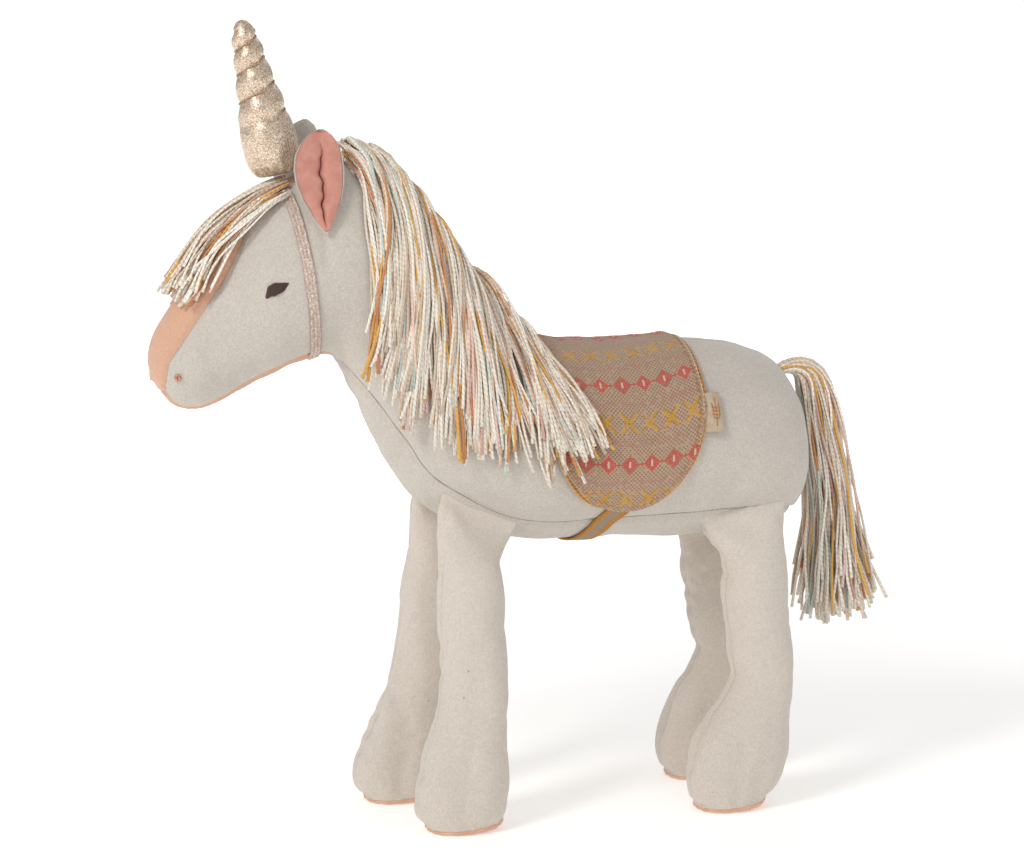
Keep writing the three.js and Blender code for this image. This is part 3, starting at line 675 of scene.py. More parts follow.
# Sections from the sole up: height, front edge, back edge, half the width, and how far out its middle is
frontSections = [
    (2.2, -53, -15, 15.0, 32), (5, -58.5, -12.5, 17.0, 32), (12, -61, -11, 18, 32),
    (21, -60.5, -10.5, 18.2, 32), (32, -57, -10.5, 17.6, 32), (44, -52.5, -11, 16.8, 32),
    (56, -48, -11.5, 16, 32), (68, -46, -11.5, 15.5, 32), (84, -46, -12.5, 15.5, 32),
    (100, -47, -14, 15.5, 32), (114, -47, -15, 15.5, 31.5), (126, -46, -16, 15.5, 31),
    (134, -46.5, -15.5, 15.3, 30.5), (142, -47, -11, 15, 29.5), (149, -42.5, -4.5, 14, 28),
]
rearSections = [
    (2.2, 86, 122, 15.0, 32), (5, 82.5, 129, 17.0, 32), (12, 80.2, 133, 18, 32), (20, 80.5, 135, 18.2, 32),
    (30, 84.5, 136.5, 17.8, 32), (41, 91.5, 137.2, 17, 32), (53, 101, 138, 16.2, 32),
    (60, 105.5, 138, 15.6, 32), (67, 108.5, 138, 15.2, 32), (74, 106.5, 137.8, 15.4, 32),
    (84, 104.8, 137, 15.6, 32), (98, 103.5, 136, 15.6, 32), (110, 102, 135, 15.6, 31.5),
    (120, 101.8, 134, 15.5, 31), (128, 101, 133.6, 15.4, 30.5), (136, 97, 133.3, 15.2, 30),
    (144, 91, 133, 14.6, 29), (150, 88, 132.6, 14, 28),
]
legFit = {
    "heelRise": 3.4, "perDegree": 0.28, "simRowHeight": 4.2, "rowHeight": 0.9, "rows": 104, "columns": 72,
    "simRows": 38, "simColumns": 26, "simFrames": 14, "pressure": 3.5, "seamShrink": 0.14, "most": 2.2
}
legs = {
    "front_left": {"side": 1, "sections": frontSections, "step": 0, "seed": 11, "seamHeights": (165, 149)},
    "front_right": {
        "side": -1, "sections": frontSections, "step": -15, "seed": 12, "seamHeights": (165, 149)
    },
    "rear_left": {"side": 1, "sections": rearSections, "step": 0, "seed": 13, "seamHeights": (149, 156)},
    "rear_right": {"side": -1, "sections": rearSections, "step": 8, "seed": 14, "seamHeights": (149, 156)},
}


def legGrid(leg, rows, columns):
    # rings from the sole up to where the leg is sewn under the trunk
    sections = np.array(leg["sections"], float)
    run = np.concatenate([[0], np.cumsum(np.linalg.norm(np.diff(sections[:, :3], axis=0), axis=1))])
    heights = np.interp(np.linspace(0, run[-1], rows), run, np.arange(len(sections)))
    smooth = cubicRows(sections, heights, False)
    angle = np.arange(columns) / columns * 2 * np.pi
    along, out = np.cos(angle), np.sin(angle)
    # a slightly squared oval, as a tube of two flat panels makes
    square = 1 + 0.05 * np.sin(2 * angle) ** 2
    height, front, back, half, middle = (smooth[:, k, None] for k in range(5))
    stride = leg["step"] * (1 - smoothstep(0, 140, height))
    x = (front + back) / 2 - (back - front) / 2 * along * square + stride - middleX
    y = -leg["side"] * (middle + half * out * square)
    z = np.broadcast_to(height, x.shape).copy()
    # the heel's edge rises a little off the ground
    behind = np.clip((x + middleX - stride - front) / (back - front), 0, 1)
    z += legFit["heelRise"] * behind ** 2 * (1 - smoothstep(0, 26, height))
    # the last rings lie along the seam on the trunk's flank, and rise to meet its underside
    top = sections[-1, 0]
    rise = smoothstep(top - 24, top, height)[:, 0]
    frontSeam, backSeam = leg["seamHeights"]
    first = x[-1].min()
    for j in range(columns):
        seamZ = frontSeam + (backSeam - frontSeam) * (x[-1, j] - first) / (x[-1].max() - first)
        hit = trunkSurface.ray_cast(Vector((x[-1, j], y[-1, j], 60.0)), Vector((0, 0, 1)))[0]
        goalZ = min(hit.z + 1.5, seamZ) if hit is not None else seamZ
        side = -leg["side"]
        edge = trunkSurface.ray_cast(Vector((x[-1, j], side * 120.0, goalZ)), Vector((0, -side, 0)))[0]
        goalY = y[-1, j]
        if edge is not None:
            goalY = side * min(side * goalY, side * edge.y - 0.6)
        for i in np.nonzero(rise)[0]:
            z[i, j] += (goalZ - top) * rise[i]
            y[i, j] += (goalY - y[-1, j]) * rise[i] if i < rows - 1 else 0
        y[-1, j] = goalY
    return np.stack([x, y, z], -1)


def buildLeg(name, leg):
    fit = legFit
    coarse = legGrid(leg, fit["simRows"], fit["simColumns"])
    moved = np.zeros_like(coarse)
    angle = np.arange(fit["simColumns"]) / fit["simColumns"] * 360
    sideSeam = np.minimum(np.abs((angle + 180) % 360 - 180), np.abs(angle - 180))[None, :] * fit["perDegree"]
    row = np.arange(fit["simRows"])[:, None]
    ends = np.minimum(row, fit["simRows"] - 1 - row) * fit["simRowHeight"]
    nearest = np.minimum(sideSeam, ends)
    tight = bell(nearest, 4.0)
    pinned = np.where(np.minimum(row, fit["simRows"] - 1 - row) < 1, 1.0, 0.12 * bell(nearest, 3.0))
    moved = puffed("legPuff", coarse, tight, pinned, fit)
    fine = legGrid(leg, fit["rows"], fit["columns"]) + resample(moved, fit["rows"], fit["columns"])
    angle = np.arange(fit["columns"]) / fit["columns"] * 360
    centre = fine.mean(1, keepdims=True)
    outward = unit((fine - centre) * np.array([1, 1, 0.0]))
    fromFront = np.abs((angle + 180) % 360 - 180)[None, :] * fit["perDegree"]
    fromBack = np.abs(angle - 180)[None, :] * fit["perDegree"]
    seam = np.minimum(fromFront, fromBack)
    height = fine[..., 2]
    low, high = fine[0, :, 2].mean(), fine[-1, :, 2].mean()
    lift = -1.1 * bell(seam, 1.7)
    # gathers along both side seams and folds where the leg bends: how many, how deep, how far round at most
    source = np.random.default_rng(leg["seed"])
    gather = np.zeros_like(height)
    for fromSeam, gathers, depths, widest in ((fromFront, 9, (0.5, 1.5), 11), (fromBack, 7, (0.4, 1.1), 9)):
        for place in source.uniform(low + 8, high - 12, gathers):
            depth = source.uniform(*depths)
            tall = source.uniform(2, 4)
            wide = source.uniform(5, widest)
            gather -= depth * bell(height - place, tall) * bell(fromSeam, wide)
    lift = lift + gather * smoothstep(low, low + 10, height)
    lift += softRipple(fine, 30, 1.1, leg["seed"] + 20) + softRipple(fine, 11, 0.25, leg["seed"] + 40)
    lift *= smoothstep(low - 0.5, low + 4, height) * 0.9 + 0.1
    fine = fine + outward * lift[..., None]
    # little tucks where the sole is sewn in
    tuck = bell(np.arange(fit["rows"]), 3.0)[:, None] * np.sin(np.radians(angle * 17)) * 0.35
    fine = fine + outward * tuck[..., None]
    cover = stuffedGrid("legCover_" + name, fine)
    rows = np.arange(fit["rows"])[:, None]
    # distances from the side seams and the top seam, darkened by the linen as painted shade
    giveFloat(cover, "seamGap", np.broadcast_to(seam, height.shape), (5, 5))
    topGap = np.broadcast_to((fit["rows"] - 1 - rows) * fit["rowHeight"], height.shape)
    giveFloat(cover, "topGap", topGap, (5, 5))
    return cover, fine


def buildSole(name, bottomRing):
    # a flat patch with a turned edge, a little smaller than the foot's mouth
    centre = bottomRing.mean(0)
    rings = []
    rise = bottomRing[:, 2] - bottomRing[:, 2].min()
    for share, height in (
        (0.2, 0.0), (0.45, 0.0), (0.7, 0.0), (0.86, 0.0), (0.94, 0.2), (0.99, 0.9), (1.0, 1.8), (0.97, 2.4),
        (0.93, 2.7)
    ):
        ring = centre + (bottomRing - centre) * share
        ring[:, 2] = height + (rise.mean() + (rise - rise.mean()) * share) * min(1, 0.5 + height)
        rings.append(ring)
    rings[0][:, 2] = rings[1][:, 2] = rings[0][:, 2].min()
    return stuffedGrid("sole_" + name, np.array(rings))


for name, leg in legs.items():
    cover, grid = buildLeg(name, leg)
    dress(cover, linen)
    part = "leg_" + name
    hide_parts(part + "_outer_panel", part + "_inner_panel", part + "_filling")
    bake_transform(cover)
    sole = buildSole(name, grid[0])
    dress(sole, solePeach)
    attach(sole, part)
    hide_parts(part + "_sole")
print("legs sewn")


earLook = {
    "root": (-104 - middleX, -29.4, 290), "length": 50.5, "lean": 18.5, "cup": 3.6, "felt": 1.5,
    "farLean": 13, "farRise": 3.0, "farTuck": 2.4,  # the right ear stands a little higher and straighter
    "halfWidths": [
        (0, 0.7), (0.06, 2.6), (0.16, 5.8), (0.3, 9.2), (0.46, 11.6), (0.6, 12.2), (0.74, 11.4), (0.86, 8.8),
        (0.94, 5.6), (0.985, 2.4), (1, 0.7),
    ],
    "lobe": 3.0,
}


def earPlace(share, across, depth, side):
    # a point on the ear: share up its length, across from -1 to 1, depth out from its back
    x0, y0, z0 = earLook["root"]
    lean = math.radians(earLook["lean"] if side > 0 else earLook["farLean"])
    if side < 0:
        y0, z0 = y0 + earLook["farTuck"], z0 + earLook["farRise"]
    half = readTable(earLook["halfWidths"], share)
    outward = depth + earLook["cup"] * across ** 2 * smoothstep(0, 0.25, share) * (
        1 - 0.5 * smoothstep(0.8, 1, share)
    )
    length = earLook["length"] * share
    low, high = np.clip(1 - share / 0.6, 0, 1), np.clip((share - 0.6) / 0.4, 0, 1)
    x = x0 + 2 * share + half * across + 1.2 * np.sin(share * 3) + 4.4 * low ** 2 + 3.2 * high ** 2
    y = side * (y0 + length * math.sin(lean) - outward * math.cos(lean))
    z = z0 + length * math.cos(lean) + outward * math.sin(lean)
    return np.stack(np.broadcast_arrays(x, y, z), -1)


def buildEar(name, side):
    body = "ear_" + name
    turn = np.linspace(0, 2 * np.pi, 49)[:-1]
    share = np.concatenate(
        [np.linspace(0, 0.06, 5), np.linspace(0.09, 0.92, 30), np.linspace(0.94, 1, 7)]
    )[:, None]
    # the felt back, with a soft round rim
    across = np.sign(np.cos(turn)) * np.abs(np.cos(turn)) ** 0.8
    depth = earLook["felt"] / 2 + earLook["felt"] / 2 * np.sign(np.sin(turn)) * np.abs(np.sin(turn)) ** 0.55
    back = stuffedGrid("earBack_" + name, earPlace(share, across[None, :], depth[None, :], side))
    dress(back, wool)
    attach(back, body)
    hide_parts(body + "_back")
    # the lining puffs up on both sides of a deep crease, drawn close together across its middle
    share = np.concatenate(
        [np.linspace(0.025, 0.07, 4), np.linspace(0.09, 0.91, 60), np.linspace(0.93, 0.975, 6)]
    )[:, None]
    topColumns, underColumns = 61, 21
    near = np.linspace(-1, 1, topColumns)
    near = np.sign(near) * np.abs(near) ** 1.8
    across = np.concatenate([near, np.linspace(1, -1, underColumns)[1:-1]])[None, :]
    front = np.arange(across.shape[1])[None, :] < topColumns
    wander = 0.13 * smoothstep(0.1, 0.5, share) + 0.06 * np.sin(share * 17 + 1) + 0.03 * np.sin(share * 41)
    wander = wander * np.clip(1 - np.abs(across), 0, 1) ** 0.6
    away = np.abs(across)
    along = smoothstep(0.03, 0.2, share) * (1 - smoothstep(0.72, 0.93, share))
    swell = earLook["lobe"] * (1 - np.exp(-away / 0.1)) * np.clip(1 - away ** 2.2, 0, 1) ** 0.8
    pinch = 0.45 * np.sin(share * 46 + 2 * np.sign(across)) * np.exp(-away / 0.2)
    pinch = pinch - 1.0 * bell(share - 0.7, 0.03) * bell(across + 0.45, 0.4)
    rim = np.clip(1 - away ** 6, 0, 1)
    raised = earLook["felt"] + 0.35 + ((swell + pinch) * along + 0.6 * (1 - along)) * rim
    depth = np.where(front, raised, earLook["felt"] + 0.1)
    lining = stuffedGrid("earLining_" + name, earPlace(share, (across + wander) * 0.92, depth, side))
    dress(lining, earPink)
    # how near each point lies to the lining's deep fold, for the painted shade there
    crease = np.exp(-away / 0.045) * smoothstep(0.02, 0.1, share) * (
        1 - smoothstep(0.66, 0.82, share)
    ) * front
    giveFloat(lining, "crease", crease, (0, 0))
    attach(lining, body)
    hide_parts(body + "_lining")


buildEar("left", 1)
buildEar("right", -1)
print("ears sewn")


def tubes(name, paths, radii, tints=None, sides=5):
    # round threads in one mesh: paths and tints are strands x points x 3, radii strands x points
    paths = np.asarray(paths, float)
    strands, count = paths.shape[:2]
    radii = np.broadcast_to(radii, (strands, count))
    tangent = unit(np.gradient(paths, axis=1))
    first = unit(np.cross(tangent[:, 0], np.array([0.31, 0.8, 0.5])))
    normals = np.zeros_like(paths)
    normals[:, 0] = first
    for k in range(1, count):
        kept = normals[:, k - 1] - tangent[:, k] * np.sum(
            normals[:, k - 1] * tangent[:, k], -1, keepdims=True
        )
        normals[:, k] = unit(kept)
    binormals = np.cross(tangent, normals)
    turn = np.arange(sides) / sides * 2 * np.pi
    cosine, sine = np.cos(turn)[None, None, :, None], np.sin(turn)[None, None, :, None]
    ring = normals[:, :, None] * cosine + binormals[:, :, None] * sine
    points = paths[:, :, None] + ring * radii[:, :, None, None]
    points = points.reshape(-1, 3)
    side = gridFaces(count, sides, True)
    side = side[:, ::-1]
    perStrand = count * sides
    caps = [list(range(sides)), [perStrand - 1 - k for k in range(sides)]]
    run = np.concatenate(
        [np.zeros((strands, 1)), np.cumsum(np.linalg.norm(np.diff(paths, axis=1), axis=2), 1)], 1
    )
    j = np.tile(np.arange(sides), count - 1)
    i = np.repeat(np.arange(count - 1), sides)
    faces, uvs = [], []
    for s in range(strands):
        base = s * perStrand
        faces.extend((side + base).tolist())
        block = np.stack([
            np.stack([j / sides, run[s, i + 1]], -1), np.stack([(j + 1) / sides, run[s, i + 1]], -1),
            np.stack([(j + 1) / sides, run[s, i]], -1), np.stack([j / sides, run[s, i]], -1)], 1)
        uvs.append(block.reshape(-1, 2))
        for cap, end in zip(caps, (0, count - 1)):
            faces.append([base + k for k in cap])
            uvs.append(np.tile([[0.0, run[s, end]]], (sides, 1)))
    piece = makeObject(name, points, faces, uvs)
    if tints is not None:
        attribute = piece.data.attributes.new("yarnTint", "FLOAT_COLOR", "POINT")
        colour = np.ones((strands, count, sides, 4), np.float32)
        colour[..., :3] = np.asarray(tints)[:, :, None, :]
        attribute.data.foreach_set("color", colour.reshape(-1))
    return piece


def threadMaterial(name, base, shade, twist=3.2):
    # a plied thread on its own UV, in millimetres along it
    material, tree, shader = newMaterial(name)
    split = node(tree, "SeparateXYZ", {0: clothPlace(tree)})
    turn = maths(
        tree, "ADD", maths(tree, "MULTIPLY", split.outputs[0], 4 * math.pi),
        maths(tree, "MULTIPLY", split.outputs[1], twist)
    )
    ply = maths(tree, "MULTIPLY_ADD", maths(tree, "SINE", turn), 0.5, 0.5)
    fuzz = noise(tree, objectPlace(tree), 1500, 3, 0.7)
    # the grooves between the plies are painted in the darker colour, as painted shade
    tone = mixColour(tree, ply, linear(*shade), linear(*base))
    tone = tinted(tree, tone, ramp(tree, fuzz, 0.45, 0.75), 0.3, linear(*[min(255, c + 25) for c in base]))
    tree.links.new(tone, shader.inputs["Base Color"])
    shader.inputs["Roughness"].default_value = 0.7
    shader.inputs["Sheen Weight"].default_value = 0.15
    tree.links.new(bump(tree, ply, 0.5, 0.0003), shader.inputs["Normal"])
    return material


darkThread = threadMaterial("darkBrownThread", (76, 50, 42), (40, 24, 20))
copperThread = threadMaterial("copperThread", (214, 160, 138), (160, 108, 88))
goldThread = threadMaterial("goldThread", (206, 172, 142), (140, 106, 82))
ochreThread = threadMaterial("ochreBraid", (208, 146, 58), (150, 96, 34), 1.6)
creamThread = threadMaterial("creamThread", (236, 226, 206), (196, 180, 156))

faceLook = {
    "eye": (-123.3 - middleX, 264.4), "eyeThreads": 9, "eyeSlant": 28, "eyeThread": 0.52,
    # forward (towards the nose) and up from the eye's middle
    "eyeOutline": [(5.3, -3.8), (3.9, 1.5), (1.2, 3.1), (-5.6, 3.3), (-3.2, -0.4), (0.4, -2.2)],
    "nostril": (-168.6 - middleX, 223.8), "nostrilThread": 0.62,
}


def onFlank(x, z, side, lift):
    # the point on the trunk seen from the side at this X and Z, and the way it faces
    place, normal = trunkSurface.ray_cast(Vector((x, -side * 150.0, z)), Vector((0, side, 0)))[:2]
    return np.array(place + normal * lift), np.array(normal)


def buildEye(name, side):
    # satin stitches laid side by side across a slanted diamond
    outline = np.array(faceLook["eyeOutline"], float)
    slant = math.radians(faceLook["eyeSlant"])
    axis = np.array([math.cos(slant), -math.sin(slant)])
    over = np.array([math.sin(slant), math.cos(slant)])
    across = outline @ over
    count = faceLook["eyeThreads"]
    paths = []
    for level in np.linspace(across.min() + 0.35, across.max() - 0.35, count):
        hits = []
        for k in range(len(outline)):
            p, q = outline[k], outline[(k + 1) % len(outline)]
            a, b = p @ over - level, q @ over - level
            if a * b < 0:
                hits.append((p + (q - p) * a / (a - b)) @ axis)
        low, high = min(hits), max(hits)
        stitch = []
        for t in np.linspace(0, 1, 9):
            flat = axis * (low + (high - low) * t) + over * (level + random.normal(0, 0.03))
            lift = -0.35 + 1.15 * math.sin(math.pi * t) ** 0.6
            stitch.append(onFlank(faceLook["eye"][0] - flat[0], faceLook["eye"][1] + flat[1], side, lift)[0])
        paths.append(stitch)
    eye = tubes("eyeStitches_" + name, paths, faceLook["eyeThread"], sides=8)
    dress(eye, darkThread)
    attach(eye, "trunk")
    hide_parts("eye_" + name)


def buildNostril(name, side):
    # a knot: thread wound three times round itself and sunk a little into the cloth
    centre, normal = onFlank(*faceLook["nostril"], side, 0.5)
    up = unit(np.cross(normal, [1.0, 0.2, 0.1]))
    flat = np.cross(up, normal)
    turn = np.linspace(0, 3 * 2 * np.pi, 60)
    wide = 1.15 * np.sin(np.linspace(0.5, np.pi - 0.3, 60)) ** 0.7
    path = centre + np.outer(np.cos(turn) * wide, up) + np.outer(np.sin(turn) * wide, flat)
    path += np.outer(np.linspace(-0.6, 1.3, 60), normal)
    knot = tubes("nostrilKnot_" + name, [path], faceLook["nostrilThread"], sides=8)
    dress(knot, copperThread)
    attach(knot, "trunk")
    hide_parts("nostril_knot_" + name)


for name, side in (("left", 1), ("right", -1)):
    buildEye(name, side)
    buildNostril(name, side)


hornLook = {
    "base": (-116.8 - middleX, 0, 318.4), "tip": (-133 - middleX, 0, 389),
    "radii": [
        (-1.2, 6.5), (-0.6, 8.8), (1, 10.2), (4, 11.9), (8, 12.9), (13, 13.3), (18, 13.1), (24, 12.2),
        (30, 11.2), (42, 9.4), (54, 7.6), (62, 6.4), (67, 5.5), (70, 4.4), (72, 2.9), (73, 0.9)
    ],
    "turns": [(18, -0.8), (28.5, 0), (42.3, 1), (54.5, 2), (64.5, 3), (73, 4)], "dent": 0.8, "swell": 0.42,
    "pitch": 12.0, "thread": 0.3,
}


def hornFrame():
    base, tip = np.array(hornLook["base"], float), np.array(hornLook["tip"], float)
    up = unit(tip - base)
    side = np.array([0, 1.0, 0])
    return base, up, np.cross(side, up), side


def buildHorn():
    base, up, ahead, side = hornFrame()
    height = np.concatenate(
        [np.linspace(-1.2, 1, 8), np.linspace(1.6, 68, 118), np.linspace(68.6, 73, 14)]
    )[:, None]
    turn = (np.arange(72) / 72 * 2 * np.pi)[None, :]
    radius = readTable(hornLook["radii"], height[:, 0])[:, None]
    phase = readTable(hornLook["turns"], height[:, 0])[:, None] - turn / (2 * np.pi)
    away = np.abs(phase - np.round(phase))
    strength = smoothstep(20, 30, height) * (1 - smoothstep(66, 70, height))
    pitch = hornLook["pitch"]
    dent = hornLook["dent"] * bell(away * pitch, 2.0) * strength
    swell = -hornLook["swell"] * np.cos(away * np.pi * 2) * strength
    pleat = 0.5 * np.cos(turn * 13) * (1 - smoothstep(0, 7, height))
    ripple = 0.25 * np.sin(turn * 5 + height * 0.5) * bell(away * pitch, 4) * strength
    radius = np.maximum(radius - dent + swell + pleat + ripple, 0.5)
    grid = base + height[..., None] * up
    grid = grid + (radius * np.cos(turn))[..., None] * ahead + (radius * np.sin(turn))[..., None] * side
    grid += softRipple(grid, 16, 0.35, 8)[..., None] * unit(grid - (base + height[..., None] * up))
    horn = stuffedGrid("hornCover", grid)
    dress(horn, glitterGold)
    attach(horn, "horn_headband")
    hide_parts("horn_cover", "horn_filling", "horn_base_patch")
    # the thread that draws the spiral in
    share = np.linspace(-0.15, 3.2, 240)
    table = np.array(hornLook["turns"])
    heights = np.interp(share, table[:, 1], table[:, 0])
    angle = share * 2 * np.pi
    around = readTable(hornLook["radii"], heights) - hornLook["dent"] + 0.15
    path = base + heights[:, None] * up
    path = path + (around * np.cos(angle))[:, None] * ahead + (around * np.sin(angle))[:, None] * side
    thread = tubes("hornWinding", [path], hornLook["thread"], sides=6)
    dress(thread, goldThread)
    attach(thread, "horn_headband")
    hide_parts("horn_winding_thread")


elasticLook = {"width": 5.2, "thick": 1.0, "ribs": 3, "chinRib": 17.45, "topRib": 18.78, "from": 4}


def elasticMaterial():
    # rubber elastic wrapped in silver and copper metal thread
    material, tree, shader = newMaterial("glitterElastic")
    split = node(tree, "SeparateXYZ", {0: clothPlace(tree)})
    lean = maths(tree, "MULTIPLY_ADD", maths(tree, "PINGPONG", split.outputs[0], 0.93), 1.1, split.outputs[1])
    wrap = maths(tree, "MULTIPLY_ADD", maths(tree, "SINE", maths(tree, "MULTIPLY", lean, 6.2)), 0.5, 0.5)
    grains = node(tree, "TexVoronoi", {"Vector": objectPlace(tree), "Scale": 2600.0})
    parts = node(tree, "SeparateColor", {0: grains.outputs["Color"]})
    ridge = maths(
        tree, "MULTIPLY_ADD",
        maths(tree, "COSINE", maths(tree, "MULTIPLY", split.outputs[0], 2 * math.pi / 1.87)), 0.5, 0.5
    )
    tone = mixColour(tree, wrap, linear(168, 148, 134), linear(222, 210, 199))
    tone = tinted(tree, tone, ramp(tree, parts.outputs[0], 0.72, 0.8), 0.8, linear(184, 130, 104))
    # some grains are painted near-white, as painted glints of the metal thread
    tone = mixColour(tree, ramp(tree, parts.outputs[1], 0.82, 0.9), tone, linear(255, 250, 244))
    # painted shade in the grooves between the elastic's ribs
    tone = tinted(tree, tone, ramp(tree, ridge, 0.72, 1.0), 0.35, linear(150, 112, 92))
    tree.links.new(tone, shader.inputs["Base Color"])
    shader.inputs["Metallic"].default_value = 0.45
    shader.inputs["Roughness"].default_value = 0.45
    tree.links.new(
        bump(tree, maths(tree, "ADD", wrap, parts.outputs[2]), 0.5, 0.0003), shader.inputs["Normal"]
    )
    return material


def ribbon(name, centre, across, outward, width, thick, ribs):
    # a flat woven band: centre, across and outward are rows of vectors; its top is ribbed
    steps = 6 * ribs
    share = np.linspace(-1, 1, steps + 1)
    top = thick / 2 * (0.62 + 0.38 * np.abs(np.cos((share + 1) / 2 * np.pi * ribs + np.pi / 2)))
    low = np.full(steps + 1, -thick / 2)
    u = np.concatenate([share, share[::-1]]) * width / 2
    h = np.concatenate([top, low])
    grid = centre[:, None] + across[:, None] * u[None, :, None] + outward[:, None] * h[None, :, None]
    return stuffedGrid(name, grid)


def buildElastic():
    look = elasticLook
    angle = np.linspace(look["from"], 360 - look["from"], 150)
    share = np.abs(180 - angle) / 180
    place = look["chinRib"] + (look["topRib"] - look["chinRib"]) * share ** 0.8
    centre, normal = trunkPoint(place, angle), trunkNormal(place, angle)
    for k in range(len(centre)):
        hit = trunkSurface.find_nearest(Vector(centre[k]))[0]
        centre[k] = np.array(hit) + normal[k] * 0.75
    centre = smoothPaths(centre[None], 3)[0]
    along = unit(np.gradient(centre, axis=0))
    across = unit(np.cross(along, normal))
    band = ribbon("chinElastic", centre, across, normal, look["width"], look["thick"], look["ribs"])
    dress(band, elasticMaterial())
    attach(band, "horn_headband")
    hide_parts("chin_elastic")


buildHorn()
buildElastic()
print("face, horn and elastic ready")


# Each tint and how often it comes up; a strand may change from one to another along its length.
yarnTints = [
    ((250, 243, 230), 38), ((240, 229, 212), 22), ((214, 194, 170), 12), ((230, 172, 68), 7),
    ((206, 134, 68), 6), ((238, 204, 190), 8), ((214, 166, 150), 3), ((208, 222, 212), 3),
    ((190, 206, 202), 1.5),
]


def strandTints(source, strands, count):
    # a colour for each point of each strand
    colours = np.array([linear(*c)[:3] for c, _ in yarnTints])
    weights = np.array([w for _, w in yarnTints], float)

    def pick():
        return colours[source.choice(len(colours), p=weights / weights.sum())]

    tints = np.zeros((strands, count, 3))
    share = np.linspace(0, 1, count)
    for s in range(strands):
        tints[s] = pick()
        if source.random() < 0.45:
            start, length = source.uniform(-0.2, 0.9), source.uniform(0.25, 0.6)
            inside = smoothstep(start, start + 0.08, share)
            inside = inside * (1 - smoothstep(start + length, start + length + 0.08, share))
            tints[s] = tints[s] * (1 - inside[:, None]) + pick() * inside[:, None]
        tints[s] *= source.uniform(0.86, 1.06)
    return np.clip(tints, 0, 1)


def bezier(points, count):
    t = np.linspace(0, 1, count)[:, None]
    a, b, c, d = (np.asarray(p, float) for p in points)
    return a * (1 - t) ** 3 + 3 * b * t * (1 - t) ** 2 + 3 * c * t ** 2 * (1 - t) + d * t ** 3


def flankDepth(x, z):
    # how far from the middle the left flank of the trunk lies at this X and Z
    hit = trunkSurface.ray_cast(Vector((x, -150.0, z)), Vector((0, 1, 0)))[0]
    return -hit.y if hit is not None else 0.0


def trimmed(line, share):
    # a strand cut to a share of its length, with as many points as before
    count = len(line)
    where = np.linspace(0, 1, count) * share * (count - 1)
    low = np.minimum(where.astype(int), count - 2)
    return line[low] + (line[low + 1] - line[low]) * (where - low)[:, None]


def lockPaths(source, centre, outward, strands, spread, waver, twist, ragged):
    # strands wound loosely round the middle line of a lock
    count = len(centre)
    tangent = unit(np.gradient(centre, axis=0))
    across = unit(np.cross(tangent, outward))
    paths = np.zeros((strands, count, 3))
    t = np.linspace(0, 1, count)
    for s in range(strands):
        angle = source.uniform(0, 2 * np.pi) + twist * t * source.uniform(0.6, 1.4)
        radius = math.sqrt(source.uniform(0.05, 1)) * readTable(spread, t)
        stray = 2.6 if source.random() < 0.12 else 1.0
        wave = np.sin(t * source.uniform(5, 11) + source.uniform(0, 6.28)) * waver * t
        wave += source.normal(0, 2.4) * stray * t ** 2
        waveOut = np.sin(t * source.uniform(9, 17) + source.uniform(0, 6.28)) * waver * 0.5 * t
        side = np.cos(angle) * radius + wave
        out = np.abs(np.sin(angle)) * radius * 0.75 + 0.3 * waveOut
        line = centre + across * side[:, None] + outward * out[:, None]
        paths[s] = trimmed(line, 1 - source.uniform(0, ragged))
    return paths


maneLook = {
    # pattern X and Z: where locks are sewn, and where they end on the left
    "roots": [
        (-87, 335), (-80, 333), (-70, 330), (-58, 317), (-49, 304), (-39, 289), (-24.5, 270), (-12, 254.5),
        (-2, 241),
    ],
    "tips": [
        (-81, 226), (-74, 211), (-66, 200), (-52, 188), (-38, 179), (-24, 176), (-8, 174), (8, 174),
        (24, 180),
    ],
    "locks": 46, "strands": 12, "points": 14, "thickness": (0.56, 0.76),
    "lift": (1.2, 9.5), "waver": 2.6, "ragged": 0.17, "farShare": 0.74,
}


